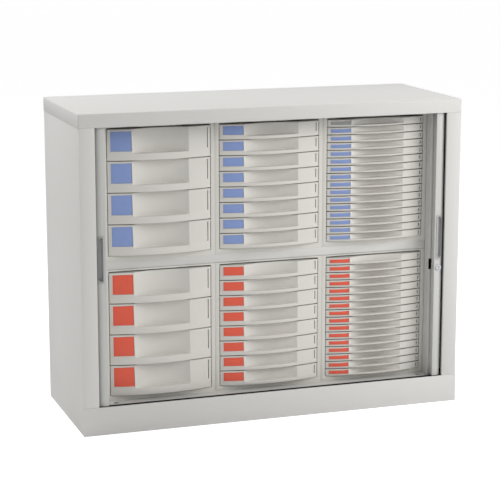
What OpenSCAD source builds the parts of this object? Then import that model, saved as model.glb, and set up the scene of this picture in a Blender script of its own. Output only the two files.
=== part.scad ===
// Low steel cabinet with two side-opening tambour shutters and six units of plastic parts drawers.
// Sizes are in millimetres. X runs along the front, Y from the front to the back and Z up.
// The origin is the middle of the footprint, on the floor.
// The shutters stand open, put away round the side pockets, and every drawer is shut.

/* [Cabinet] */
// Width over the cap and the plinth
cab_w = 1200; // [1160:1:1260]
// Depth from the fascia to the back of the cap
cab_d = 460; // [440:1:520]
// Height from the floor to the top
cab_h = 955; // [900:1:1020]
// Height of the fascia under the top edge
fascia_h = 41; // [36:1:60]
// Height of the plinth
plinth_h = 85; // [70:1:120]
// Width of each front stile
stile_w = 48.5; // [46:0.5:49]
// Depth of the return along the inner edge of a stile
stile_return = 5; // [3:0.5:5.5]
// How far the side sheets stand in from the ends of the cap and the plinth
side_inset = 1.5; // [1.3:0.1:2]
// Thickness of the folded steel sheet
sheet = 1.2; // [0.8:0.1:1.2]
// Width of the flange round the foot of the base
foot_flange = 25; // [15:1:40]
// Width of each shutter pocket, from the cabinet's end to the liner
pocket_w = 85; // [84:1:95]
// Room behind the drawer units for the tails of the shutters
rear_pocket = 25; // [24:1:40]
// Play between two steel pieces that fit together
steel_play = 0.3; // [0.1:0.1:0.5]
// Gap between a small piece and the seat that it lies on
seat_gap = 0.1; // [0.05:0.01:0.2]

/* [Deck, shelf and liners] */
// Depth of the hem along the top of the plinth and the foot of the fascia
hem_d = 2.5; // [2:0.1:3.5]
// Drop from the top of the plinth to the deck
deck_drop = 3; // [2:0.5:6]
// Height of the raised deck above the floor plate
deck_h = 10; // [6:0.5:12]
// Distance of the deck's front lip behind the front face
deck_front = 23.5; // [22.5:0.5:40]
// Thickness of the centre shelf over its folded edge
shelf_t = 25; // [18:1:40]
// Distance of the shelf's front edge behind the front face
shelf_front = 47; // [38:1:60]
// Depth of the flange under the shelf's folded edges
shelf_return = 15; // [8:1:25]
// Play between the shelf and what lies under and beside it
shelf_play = 1; // [0.5:0.1:1.5]
// Width of the liner's front flange
liner_flange = 8; // [5:0.5:10]
// Distance of the liner's front flange behind the front face
liner_front = 29.5; // [28:0.5:40]
// Length of each shelf clip along the shelf
clip_len = 20; // [12:1:40]
// Reach of each shelf clip under the shelf
clip_reach = 10; // [6:1:16]
// Thickness of a clip's tongue
clip_t = 2.5; // [1.5:0.5:4]
// Height of a clip's plate under the shelf
clip_h = 7.5; // [5:0.5:12]

/* [Drawer units] */
// Distance of the drawer fronts behind the front face
fronts_back = 65; // [62:1:80]
// How far a drawer's front stands out from its housing
front_proud = 1; // [0:0.5:3]
// Gap between the top of the upper housings and the foot of the fascia
head_gap = 6; // [2:0.5:12]
// Gap between a housing and a pocket liner
end_play = 0.75; // [0.25:0.25:2]
// Gap between two housings
unit_play = 0.5; // [0.2:0.1:2]
// Side wall of a housing
housing_wall = 12.5; // [8:0.5:18]
// Bottom of a housing
housing_floor = 16; // [8:0.5:24]
// Top of a housing
housing_roof = 8; // [4:0.5:12]
// Back of a housing
housing_back = 2.5; // [1.5:0.5:5]
// Shell of a housing behind its front frame
housing_shell = 3; // [2:0.5:5]
// Depth of the frames round the front and the back of a housing
housing_frame = 15; // [10:1:30]
// Width of a runner along a housing's side
runner_w = 8; // [5:0.5:12]
// Thickness of a runner
runner_t = 1.5; // [1:0.1:2]
// Running gap under a drawer
running_gap = 0.3; // [0.2:0.1:0.6]

/* [Drawers] */
// Gap at each side of a drawer
drawer_side_gap = 1.25; // [0.8:0.05:2]
// Gap between one front and the next
front_gap = 1.2; // [0.8:0.1:2]
// Thickness of a moulded front over its flat ends
front_t = 21; // [20:0.5:30]
// Wall of a front
front_wall = 3; // [2:0.1:3]
// Wall and floor of a tray
tray_wall = 2; // [1.5:0.1:3]
// Room over the walls of a tray
tray_head = 1; // [0.6:0.1:2]
// Room behind a tray
tray_back_gap = 8; // [4:1:20]
// Width of the scoop in a front
scoop_w = 160; // [120:1:164]
// Distance of the scoop's middle from the front's middle
scoop_x = 5; // [0:1:8]
// Width of the bowed lip
lip_w = 205; // [160:1:220]
// Distance of the lip's middle from the front's middle
lip_x = -2; // [-6:1:4]
// Width of a label card
card_w = 60; // [40:1:60]
// Distance of a card from the end of its front
card_x = 10; // [6:1:10]
// Thickness of a card
card_t = 1.2; // [0.8:0.1:1.4]
// Depth of a card's recess
card_recess = 2; // [1.5:0.1:2]
// Play round a card
card_play = 0.3; // [0.2:0.1:0.6]
// Distance of the upright groove from the end of its front
groove_x = 9; // [6:0.5:12]
// Width of the upright groove
groove_w = 1.6; // [1:0.1:3]
// Depth of the upright groove
groove_t = 1.5; // [0.8:0.1:1.8]

/* [Tall drawers] */
// Tall drawers in a housing
tall_count = 4; // [3:1:5]
// Height of the lip
tall_lip_h = 22; // [14:1:26]
// How far the lip bows out
tall_bow = 22; // [12:1:23]
// Depth of the scoop
tall_scoop = 17; // [12:1:17]
// Height of the label card
tall_card_h = 58; // [30:1:58]
// Room over the label card
tall_card_top = 6; // [4:0.5:8]

/* [Medium drawers] */
// Medium drawers in a housing
medium_count = 8; // [6:1:8]
// Height of the lip
medium_lip_h = 11; // [7:1:13]
// How far the lip bows out
medium_bow = 17; // [10:1:22]
// Depth of the scoop
medium_scoop = 16; // [10:1:17]
// Height of the label card
medium_card_h = 26; // [14:1:26]
// Room over the label card
medium_card_top = 4.5; // [3:0.5:5]

/* [Thin drawers] */
// Thin drawers in a housing, an even number
thin_count = 16; // [12:2:16]
// Height of the lip
thin_lip_h = 6; // [4:0.5:7]
// How far the lip bows out
thin_bow = 13; // [8:1:20]
// Depth of the scoop
thin_scoop = 14; // [10:1:17]
// Height of the label card
thin_card_h = 12; // [6:0.5:12]
// Room over the label card
thin_card_top = 3.4; // [2.4:0.2:3.6]

/* [Shutters] */
// Distance of the shutters' middle line behind the front face
shutter_d = 13; // [12.5:0.1:14]
// Width of a shutter track
track_w = 18; // [17:0.5:18]
// Height of a shutter track
track_h = 12; // [10:0.5:14]
// Width of the groove in a track
track_groove = 9; // [8.6:0.1:10]
// Floor under the groove
track_floor = 4; // [2:0.5:5]
// Drop from the edge of the opening to the track
track_drop = 1; // [0.5:0.1:2]
// Radius of a track's corners along its middle
track_r = 34; // [28:1:34]
// Play between a track and the side sheet
track_play = 0.3; // [0.1:0.1:0.5]
// Pitch of the slats
slat_pitch = 20; // [18:1:24]
// Width of a slat
slat_w = 18; // [14:0.5:18]
// Thickness of a slat
slat_t = 6; // [4:0.5:6.5]
// Thickness of the web that joins the slats
web_t = 1.2; // [0.8:0.1:2]
// Length of curtain that stays in the pocket when the shutter is closed
tail_len = 20; // [10:5:40]
// Running gap between a curtain and its lead bar, and under both
shutter_gap = 0.5; // [0.3:0.1:1]

/* [Lead bars] */
// Width of a lead bar
bar_w = 33; // [32:0.5:34]
// Thickness of a lead bar
bar_t = 20; // [19:0.5:20]
// Distance of the lead bars behind the front face
bar_front = 6; // [5.5:0.5:6.5]
// Width of the flat part of a lead bar's face
bar_flat = 13.5; // [10:0.5:16]
// Radius of the rounded part of a lead bar's face
bar_r = 38; // [34:1:60]
// Wall of a lead bar
bar_wall = 2; // [1.5:0.1:2]
// How far a lead bar reaches behind its stile
bar_lap = 2; // [1:0.5:2]
// Room over and under a lead bar in the opening
bar_end_gap = 1; // [0.8:0.1:2]
// Gap between the closed lead bars and the middle of the cabinet
bar_meet_gap = 0.5; // [0.3:0.1:1]
// Width of a running shoe's tongue
shoe_w = 26; // [18:1:27]
// Thickness of a running shoe's tongue
shoe_t = 7; // [5:0.5:7.5]
// Depth of a running shoe's plug inside the bar
shoe_plug = 20; // [10:1:40]

/* [Handles] */
// Height of a handle's middle above the floor
handle_z = 527; // [480:1:600]
// Height of a handle
handle_h = 140; // [100:1:160]
// Width of a handle
handle_w = 23; // [20:0.5:23]
// Distance of a handle from the inner edge of its bar
handle_x = 5.5; // [5:0.5:6]
// Radius of a handle's corners towards the middle of the cabinet
handle_r_in = 5; // [3:0.5:8]
// Radius of a handle's corners towards the stile
handle_r_out = 13; // [8:0.5:15]
// How far a handle's rim stands out from the bar
handle_rim = 1.5; // [0.5:0.1:2]
// Wall of a handle
handle_wall = 2.5; // [1.5:0.1:3]
// Extra width of the rim on the side that the fingers pull
grip_w = 2.5; // [1:0.1:4]
// Depth of a handle's cup behind the bar's face
handle_depth = 14; // [8:0.5:15]
// Play between a handle and its bar
handle_play = 0.2; // [0.1:0.1:0.3]

/* [Lock] */
// Drop from the foot of the handle to the lock
lock_drop = 25; // [25:1:60]
// Distance of the lock's middle from the inner edge of its bar
lock_x = 14.3; // [13:0.1:16]
// Radius of the lock barrel
lock_r = 9; // [7:0.5:9]
// How far the barrel stands out from the bar
lock_proud = 2.5; // [1:0.5:4]
// Running clearance of the barrel
lock_play = 0.08; // [0.05:0.01:0.1]
// Depth of the barrel behind the bar's face
barrel_depth = 10.5; // [9:0.5:11]
// Height of the bolt
bolt_h = 12; // [8:1:12]
// Thickness of the bolt
bolt_t = 3; // [2:0.5:3.5]
// How far the bolt is thrown
bolt_throw = 12; // [8:1:14]
// Play round the bolt in its case
bolt_play = 0.1; // [0.1:0.1:0.3]
// Play round the bolt in the other bar
strike_play = 1; // [0.5:0.1:1.5]
// Height of the lock case
case_h = 30; // [28:1:31]
// How far the lock case stands out behind the bar
case_back = 9; // [6:0.5:9]
// Room round the lock case in the liner's notch
notch_play = 2; // [1:0.5:6]

/* [Levelling feet] */
// Distance of a foot from the cabinet's end
foot_x = 110; // [105:1:160]
// Distance of a foot from the front and the back
foot_y = 47; // [42:1:54]
// Radius of a foot's pad
foot_pad_r = 19; // [12:0.5:22]
// Height of a foot's pad
foot_pad_h = 8; // [5:0.5:12]
// Radius of a foot's screw
foot_screw_r = 5; // [4:0.5:6]
// Length of a foot's screw
foot_screw_len = 52; // [40:1:56]
// Clearance between a foot's screw and its boss
foot_play = 0.1; // [0.05:0.05:0.2]
// Wall of the boss that carries a foot
boss_wall = 6; // [3:0.5:8]
// Length of the boss that carries a foot
boss_len = 40; // [20:1:50]
// Radius of the hole in the deck above a foot
access_r = 7; // [6.5:0.5:9]

/* [Hidden] */
$fn = 64;
// Overlap that joins the parts of one solid, and the overrun of a cut
JOIN = 0.5;
CUT = 1;

// Planes of the carcase
front_y = -cab_d / 2;
back_y = cab_d / 2;
fascia_z = cab_h - fascia_h;
deck_z = plinth_h - deck_drop;
plate_z = deck_z - deck_h;
side_out_x = cab_w / 2 - side_inset;
side_in_x = side_out_x - sheet;
liner_x = cab_w / 2 - pocket_w;
stile_x = cab_w / 2 - stile_w;
units_back_y = back_y - rear_pocket;
back_sheet_y = back_y - sheet - steel_play;
ceiling_z = fascia_z + track_drop + track_h;
// Distance from the middle, length and width of each slot in the top's inner plate
PLATE_SLOT = [120, 350, 100];

// Drawer units
COLUMNS = [-1, 0, 1];
ROWS = [0, 1];
ROW_NAMES = ["lower", "upper"];
CARD_COLOURS = [[0.83, 0.32, 0.24], [0.47, 0.57, 0.78]];
BLANK_CARD = [0.62, 0.64, 0.66];
housing_w = (2 * liner_x - 2 * end_play - 2 * unit_play) / 3;
housing_h = (fascia_z - head_gap - deck_z - shelf_t - shelf_play) / 2;
shelf_z = deck_z + housing_h + shelf_play;
HOUSING_Z = [deck_z, shelf_z + shelf_t];
fronts_y = front_y + fronts_back;
housing_y = fronts_y + front_proud;
opening_w = housing_w - 2 * housing_wall;
zone_h = housing_h - housing_floor - housing_roof;
front_w = opening_w - 2 * drawer_side_gap;
drawer_len = units_back_y - housing_back - tray_back_gap - fronts_y;
runner_y = fronts_y + front_t + tray_head;

// Shutters
line_y = front_y + shutter_d;
side_line_x = side_in_x - track_play - track_w / 2;
arc_x = side_line_x - track_r;
arc_y = line_y + track_r;
back_line_y = back_sheet_y - sheet - 2 * steel_play - track_w / 2;
back_arc_y = back_line_y - track_r;
lower_track_z = plinth_h - track_drop - track_h;
upper_track_z = fascia_z + track_drop;
groove_z = lower_track_z + track_floor;
groove_top_z = upper_track_z + track_h - track_floor;
bar_out_x = stile_x + bar_lap;
bar_x = bar_out_x - bar_w;
bar_y = front_y + bar_front;
bar_z = plinth_h + bar_end_gap;
bar_top_z = fascia_z - bar_end_gap;
travel = bar_x - bar_meet_gap;
curtain_x = bar_out_x + shutter_gap;
ARC_LEN = track_r * PI / 2;
to_arc = arc_x - curtain_x;
to_side = to_arc + ARC_LEN;
to_back_arc = to_side + back_arc_y - arc_y;
to_back = to_back_arc + ARC_LEN;
slat_count = ceil((travel + tail_len) / slat_pitch);
curtain_len = slat_count * slat_pitch;
track_end_x = arc_x - (curtain_len - to_back) - JOIN;
TRACK_STOP = 3;
SHOE_NECK = 0.7;

// Lock
// Share of the lock case's height that lies under the middle of the lock
CASE_UNDER = 0.25;
// Distances of the drawn bolt's ends from the two sides of its bar
BOLT_ENDS = [0.5, 4];
lock_at_x = bar_x + lock_x;
lock_z = handle_z - handle_h / 2 - lock_drop;
case_z = lock_z - CASE_UNDER * case_h;
bolt_y = bar_y + barrel_depth + bolt_play + steel_play;
case_y = bolt_y - bolt_play - sheet;
case_x = bar_x + bar_wall + steel_play;
case_w = bar_w - 2 * (bar_wall + steel_play);
case_back_y = bar_y + bar_t + case_back;
KEY_SLOT = [1.6, 4, 9];
SCREW_SLOT = [1.5, 3];

STEEL = [0.80, 0.80, 0.79];
PLASTIC = [0.84, 0.83, 0.80];
DARK = [0.12, 0.12, 0.12];
CHROME = [0.75, 0.76, 0.78];
ZINC = [0.68, 0.69, 0.70];

function tall_name(row, i) = str(ROW_NAMES[row], "_tall_drawer_", i + 1);
function medium_name(row, i) = str(ROW_NAMES[row], "_medium_drawer_", i + 1);
function thin_name(row, i) = str(ROW_NAMES[row], "_thin_drawers_", 2 * i + 1, "_", 2 * i + 2);

CARCASE_NODES = [
    "top_panel", "left_side_panel", "right_side_panel", "back_panel", "base_and_plinth",
    "centre_shelf", "pocket_liners_and_shelf_clips", "levelling_feet", "shutter_tracks",
    "tall_drawer_housings", "medium_drawer_housings", "thin_drawer_housings"
];
SHUTTER_NODES = [
    "left_curtain", "right_curtain", "left_lead_bar", "right_lead_bar",
    "left_handle", "right_handle", "lock_barrel", "lock_bolt"
];
TALL_NODES = [for (row = ROWS) for (i = [0:tall_count - 1]) tall_name(row, i)];
MEDIUM_NODES = [for (row = ROWS) for (i = [0:medium_count - 1]) medium_name(row, i)];
THIN_NODES = [for (row = ROWS) for (i = [0:thin_count / 2 - 1]) thin_name(row, i)];

// A block between two opposite corners
module slab(low, high) {
    translate(low) cube(high - low);
}

// What is drawn for the right-hand side, on both sides
module both_sides() {
    children();
    mirror([1, 0, 0]) children();
}

// Carcase

module top_panel() {
    flange_in_x = cab_w / 2 - sheet;
    color(STEEL) difference() {
        union() {
            slab([-cab_w / 2, front_y, cab_h - sheet], [cab_w / 2, back_y, cab_h]);
            slab([-cab_w / 2, front_y, fascia_z], [cab_w / 2, front_y + sheet, cab_h]);
            slab([-cab_w / 2, back_y - sheet, fascia_z], [cab_w / 2, back_y, cab_h]);
            both_sides() slab([flange_in_x, front_y, fascia_z], [cab_w / 2, back_y, cab_h]);
            // Hem along the foot of the fascia
            slab([-stile_x, front_y, fascia_z], [stile_x, front_y + hem_d, fascia_z + sheet]);
            // Inner plate that carries the upper track
            slab([-flange_in_x, front_y, ceiling_z], [flange_in_x, back_y, ceiling_z + sheet]);
        }
        // Slots in the inner plate, over the drawer units
        both_sides() slab([PLATE_SLOT[0], -PLATE_SLOT[2] / 2, ceiling_z - CUT],
                          [PLATE_SLOT[0] + PLATE_SLOT[1], PLATE_SLOT[2] / 2, ceiling_z + sheet + CUT]);
    }
}

module side_panel() {
    color(STEEL) union() {
        slab([side_in_x, front_y + sheet, 0], [side_out_x, back_sheet_y, ceiling_z]);
        // Front stile with its return
        slab([stile_x, front_y, plinth_h + steel_play],
             [side_out_x, front_y + sheet, fascia_z - steel_play]);
        slab([side_in_x, front_y, plinth_h + steel_play],
             [side_out_x, front_y + sheet + JOIN, fascia_z - steel_play]);
        slab([stile_x, front_y, plinth_h + steel_play],
             [stile_x + sheet, front_y + stile_return, fascia_z - steel_play]);
        // Rear flange that the back is fixed to
        slab([side_in_x - foot_flange, back_sheet_y - sheet - steel_play - sheet, plinth_h],
             [side_in_x + JOIN, back_sheet_y - sheet - steel_play, fascia_z - steel_play]);
    }
}

module back_panel() {
    color(STEEL) slab([-side_in_x + steel_play, back_sheet_y - sheet, 0],
                      [side_in_x - steel_play, back_sheet_y, ceiling_z]);
}

module foot_positions() {
    for (sx = [-1, 1], sy = [-1, 1])
        translate([sx * (cab_w / 2 - foot_x), sy * (cab_d / 2 - foot_y), 0]) children();
}

module base_and_plinth() {
    in_x = side_in_x - steel_play;
    in_y = back_sheet_y - sheet - steel_play;
    deck_x = liner_x - shelf_play;
    deck_y = front_y + deck_front;
    color(STEEL) difference() {
        union() {
            // Plinth with its hem
            slab([-cab_w / 2, front_y, 0], [cab_w / 2, front_y + sheet, plinth_h]);
            slab([-in_x, front_y, plinth_h - sheet], [in_x, front_y + hem_d, plinth_h]);
            // Sides and rear of the base
            both_sides() slab([in_x - sheet, front_y, 0], [in_x, in_y, plate_z]);
            slab([-in_x, in_y - sheet, 0], [in_x, in_y, plate_z]);
            // Flange that rests on the floor
            difference() {
                slab([-in_x, front_y, 0], [in_x, in_y, sheet]);
                slab([-in_x + foot_flange, front_y + foot_flange, -CUT],
                     [in_x - foot_flange, in_y - foot_flange, sheet + CUT]);
            }
            // Floor plate, which carries the lower track and the deck
            slab([-in_x, front_y, plate_z - sheet], [in_x, in_y, plate_z]);
            difference() {
                slab([-deck_x, deck_y, plate_z - JOIN], [deck_x, units_back_y, deck_z]);
                slab([-deck_x + sheet, deck_y + sheet, plate_z - CUT],
                     [deck_x - sheet, units_back_y - sheet, deck_z - sheet]);
            }
            // Bosses for the levelling feet
            foot_positions() translate([0, 0, plate_z - sheet - boss_len])
                cylinder(r = foot_screw_r + foot_play + boss_wall, h = boss_len + JOIN);
        }
        foot_positions() {
            translate([0, 0, -CUT]) cylinder(r = foot_screw_r + foot_play, h = plate_z);
            translate([0, 0, plate_z - sheet - JOIN])
                cylinder(r = access_r, h = deck_h + sheet + CUT + JOIN);
        }
    }
}

module levelling_feet() {
    color(ZINC) foot_positions() difference() {
        union() {
            cylinder(r = foot_pad_r, h = foot_pad_h);
            cylinder(r = foot_screw_r, h = foot_pad_h + foot_screw_len);
        }
        // Slot for a screwdriver, reached through the hole in the deck
        translate([-foot_screw_r - CUT, -SCREW_SLOT[0] / 2, foot_pad_h + foot_screw_len - SCREW_SLOT[1]])
            cube([2 * (foot_screw_r + CUT), SCREW_SLOT[0], SCREW_SLOT[1] + CUT]);
    }
}

module centre_shelf() {
    shelf_x = liner_x - sheet - steel_play;
    shelf_y = front_y + shelf_front;
    shelf_back_y = units_back_y - shelf_play;
    top_z = shelf_z + shelf_t;
    color(STEEL) union() {
        slab([-shelf_x, shelf_y, top_z - sheet], [shelf_x, shelf_back_y, top_z]);
        // Folded front and back edges
        slab([-shelf_x, shelf_y, shelf_z], [shelf_x, shelf_y + sheet, top_z]);
        slab([-shelf_x, shelf_y, shelf_z], [shelf_x, shelf_y + shelf_return, shelf_z + sheet]);
        slab([-shelf_x, shelf_back_y - sheet, shelf_z], [shelf_x, shelf_back_y, top_z]);
        slab([-shelf_x, shelf_back_y - shelf_return, shelf_z], [shelf_x, shelf_back_y, shelf_z + sheet]);
    }
}

module pocket_liner(notched) {
    flange_y = front_y + liner_front;
    difference() {
        union() {
            slab([liner_x, flange_y, plate_z], [liner_x + sheet, units_back_y - shelf_play, ceiling_z]);
            slab([liner_x, flange_y, plate_z], [liner_x + liner_flange, flange_y + sheet, ceiling_z]);
        }
        // Notch that clears the lock case as the shutter opens
        if (notched) slab([liner_x - CUT, flange_y - CUT, case_z - notch_play],
                          [liner_x + liner_flange + CUT, case_back_y + notch_play,
                           case_z + case_h + notch_play]);
    }
}

module shelf_clip(clip_y) {
    under_z = shelf_z + shelf_t - sheet - seat_gap;
    back_x = liner_x - seat_gap;
    slab([liner_x - clip_reach, clip_y, under_z - clip_t], [back_x, clip_y + clip_len, under_z]);
    slab([liner_x - sheet, clip_y, under_z - clip_h], [back_x, clip_y + clip_len, shelf_z + shelf_t]);
}

module pocket_liners_and_shelf_clips() {
    clip_in = front_y + shelf_front + shelf_return + clip_len;
    color(STEEL) {
        pocket_liner(true);
        mirror([1, 0, 0]) pocket_liner(false);
    }
    color(ZINC) both_sides() {
        shelf_clip(clip_in);
        shelf_clip(-clip_in - clip_len);
    }
}

// Shutter tracks and curtains

module rounded_rectangle(low, high, r) {
    translate([low[0] + r, low[1]]) square([high[0] - low[0] - 2 * r, high[1] - low[1]]);
    translate([low[0], low[1] + r]) square([high[0] - low[0], high[1] - low[1] - 2 * r]);
    for (x = [low[0] + r, high[0] - r], y = [low[1] + r, high[1] - r]) translate([x, y]) circle(r = r);
}

// Plan of the shutters' path round the cabinet, as a strip of width w that is open at the back
module path_strip(w, end_x) {
    difference() {
        rounded_rectangle([-side_line_x - w / 2, line_y - w / 2],
                          [side_line_x + w / 2, back_line_y + w / 2], track_r + w / 2);
        rounded_rectangle([-side_line_x + w / 2, line_y + w / 2],
                          [side_line_x - w / 2, back_line_y - w / 2], track_r - w / 2);
        translate([-end_x, back_line_y - w]) square([2 * end_x, 2 * w]);
    }
}

// A track lies with its groove upwards, from height 0
module track() {
    difference() {
        linear_extrude(track_h) path_strip(track_w, track_end_x - TRACK_STOP);
        translate([0, 0, track_floor]) linear_extrude(track_h) path_strip(track_groove, track_end_x);
    }
}

module shutter_tracks() {
    color(DARK) {
        translate([0, 0, lower_track_z]) track();
        translate([0, 0, upper_track_z + track_h]) mirror([0, 0, 1]) track();
    }
}

// Place and heading on the path, at a distance from the outer edge of the open lead bar
function on_path(s) =
    s < to_arc ? [curtain_x + s, line_y, 0]
    : s < to_side ? let (t = 90 * (s - to_arc) / ARC_LEN)
        [arc_x + track_r * sin(t), arc_y - track_r * cos(t), t]
    : s < to_back_arc ? [side_line_x, arc_y + s - to_side, 90]
    : s < to_back ? let (t = 90 * (s - to_back_arc) / ARC_LEN)
        [arc_x + track_r * cos(t), back_arc_y + track_r * sin(t), 90 + t]
    : [arc_x - (s - to_back), back_line_y, 180];

module curtain() {
    curtain_z = groove_z + shutter_gap;
    color(PLASTIC) translate([0, 0, curtain_z])
        linear_extrude(groove_top_z - shutter_gap - curtain_z) {
            for (i = [0:slat_count - 1]) {
                p = on_path((i + 0.5) * slat_pitch);
                translate([p[0], p[1]]) rotate(p[2]) square([slat_w, slat_t], center = true);
            }
            intersection() {
                path_strip(web_t, track_end_x + JOIN);
                union() {
                    translate([curtain_x, front_y]) square([cab_w, 2 * track_r]);
                    translate([track_end_x, arc_y]) square([cab_w, cab_d]);
                }
            }
        }
}

// Lead bars

// Outline of a right-hand lead bar, set in by a margin all round
module bar_outline(margin) {
    intersection() {
        translate([bar_x + margin, bar_y + margin]) square([bar_w - 2 * margin, bar_t - 2 * margin]);
        union() {
            translate([bar_x - bar_w, bar_y + margin]) square([bar_w + bar_flat, 2 * bar_t]);
            translate([bar_x + bar_flat, bar_y + bar_r]) circle(r = bar_r - margin);
        }
    }
}

// Outline of a handle in the XZ plane, set in by a margin, with a wider rim on the pulled side
module handle_outline(margin, grip) {
    low_x = bar_x + handle_x + margin + grip;
    high_x = bar_x + handle_x + handle_w - margin;
    r_in = max(handle_r_in - margin, 1);
    r_out = max(handle_r_out - margin, 1);
    half_h = handle_h / 2 - margin;
    for (s = [-1, 1]) {
        translate([low_x + r_in, s * (half_h - r_in)]) circle(r = r_in);
        translate([high_x - r_out, s * (half_h - r_out)]) circle(r = r_out);
    }
    translate([low_x, r_in - half_h]) square([high_x - r_out - low_x, 2 * (half_h - r_in)]);
    translate([low_x + r_in, -half_h]) square([high_x - r_out - low_x - r_in, 2 * half_h]);
    translate([low_x + r_in, r_out - half_h]) square([high_x - low_x - r_in, 2 * (half_h - r_out)]);
}

module handle_prism(margin, grip, low_y, high_y) {
    translate([0, high_y, handle_z]) rotate([90, 0, 0])
        linear_extrude(high_y - low_y) handle_outline(margin, grip);
}

module running_shoe() {
    plug_x = bar_x + (bar_w - shoe_w) / 2;
    plug_y = bar_y + bar_r - sqrt(pow(bar_r - bar_wall, 2) - pow(plug_x + shoe_w - bar_x - bar_flat, 2));
    slab([plug_x, plug_y + steel_play, bar_z - SHOE_NECK],
         [plug_x + shoe_w, bar_y + bar_t - bar_wall - steel_play, bar_z + shoe_plug]);
    slab([plug_x, line_y - shoe_t / 2, groove_z + running_gap],
         [plug_x + shoe_w, line_y + shoe_t / 2, bar_z - seat_gap]);
}

module lead_bar() {
    mid_z = (bar_z + bar_top_z) / 2;
    color(STEEL) difference() {
        translate([0, 0, bar_z]) linear_extrude(bar_top_z - bar_z) difference() {
            bar_outline(0);
            bar_outline(bar_wall);
        }
        handle_prism(-handle_play, 0, bar_y - CUT, bar_y + bar_t - bar_wall - CUT);
        children();
    }
    color(DARK) {
        running_shoe();
        translate([0, 0, 2 * mid_z]) mirror([0, 0, 1]) running_shoe();
    }
}

module bolt_space(play, low_x, high_x) {
    slab([low_x, bolt_y - play, lock_z - bolt_h / 2 - play],
         [high_x, bolt_y + bolt_t + play, lock_z + bolt_h / 2 + play]);
}

module lock_bore(depth) {
    translate([lock_at_x, bar_y + depth, lock_z]) rotate([90, 0, 0])
        cylinder(r = lock_r + lock_play, h = depth + CUT);
}

module lock_case_block(play) {
    slab([case_x - play, case_y - play, case_z - play],
         [case_x + case_w + play, case_back_y, case_z + case_h + play]);
}

module right_lead_bar() {
    lead_bar() {
        lock_bore(bar_t / 2);
        bolt_space(bolt_play + steel_play, bar_x - CUT, bar_x + bar_w / 2);
        lock_case_block(steel_play);
    }
    color(ZINC) difference() {
        lock_case_block(0);
        lock_bore(barrel_depth + steel_play);
        bolt_space(bolt_play, bar_x - CUT, bar_x + bar_w);
    }
}

module left_lead_bar() {
    mirror([1, 0, 0]) lead_bar() bolt_space(strike_play, bar_x - CUT, bar_x + bolt_throw + strike_play);
}

module handle() {
    color(PLASTIC) intersection() {
        difference() {
            handle_prism(0, 0, bar_y - bar_t, bar_y + handle_depth + handle_wall);
            handle_prism(handle_wall, grip_w, bar_y - bar_t - CUT, bar_y + handle_depth);
        }
        // The rim follows the rounded face of the bar
        translate([0, 0, handle_z - handle_h]) linear_extrude(2 * handle_h) bar_outline(-handle_rim);
    }
}

module lock_barrel() {
    color(CHROME) translate([lock_at_x, bar_y - lock_proud, lock_z]) rotate([-90, 0, 0]) difference() {
        cylinder(r = lock_r, h = lock_proud + barrel_depth);
        // Key slot
        translate([-KEY_SLOT[0] / 2, -KEY_SLOT[2] / 2, -CUT])
            cube([KEY_SLOT[0], KEY_SLOT[2], KEY_SLOT[1] + CUT]);
    }
}

module lock_bolt() {
    color(ZINC) bolt_space(0, bar_x + BOLT_ENDS[0], bar_x + bar_w - BOLT_ENDS[1]);
}

// Drawer units

module runners(count) {
    pitch = zone_h / count;
    for (i = [0:count - 1]) both_sides()
        slab([opening_w / 2 - runner_w, runner_y, housing_floor + i * pitch],
             [opening_w / 2 + JOIN, units_back_y - JOIN, housing_floor + i * pitch + runner_t]);
}

module housing(count) {
    half_w = housing_w / 2;
    shell_x = opening_w / 2 + housing_shell;
    union() {
        difference() {
            slab([-half_w, housing_y, 0], [half_w, units_back_y, housing_h]);
            slab([-opening_w / 2, housing_y - CUT, housing_floor],
                 [opening_w / 2, units_back_y - housing_back, housing_floor + zone_h]);
            // Thin walls between the front and the back frame
            both_sides() slab([shell_x, housing_y + housing_frame, -CUT],
                              [half_w + CUT, units_back_y - housing_frame, housing_h + CUT]);
            slab([-opening_w / 2, housing_y + housing_frame, -CUT],
                 [opening_w / 2, units_back_y - housing_frame, housing_floor - housing_shell]);
        }
        runners(count);
    }
}

module housings(column, count) {
    for (row = ROWS) color(PLASTIC)
        translate([column * (housing_w + unit_play), 0, HOUSING_Z[row]]) housing(count);
}

// Radius of an arc with this chord and this rise
function arc_radius(chord, rise) = (chord * chord / 4 + rise * rise) / (2 * rise);

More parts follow.
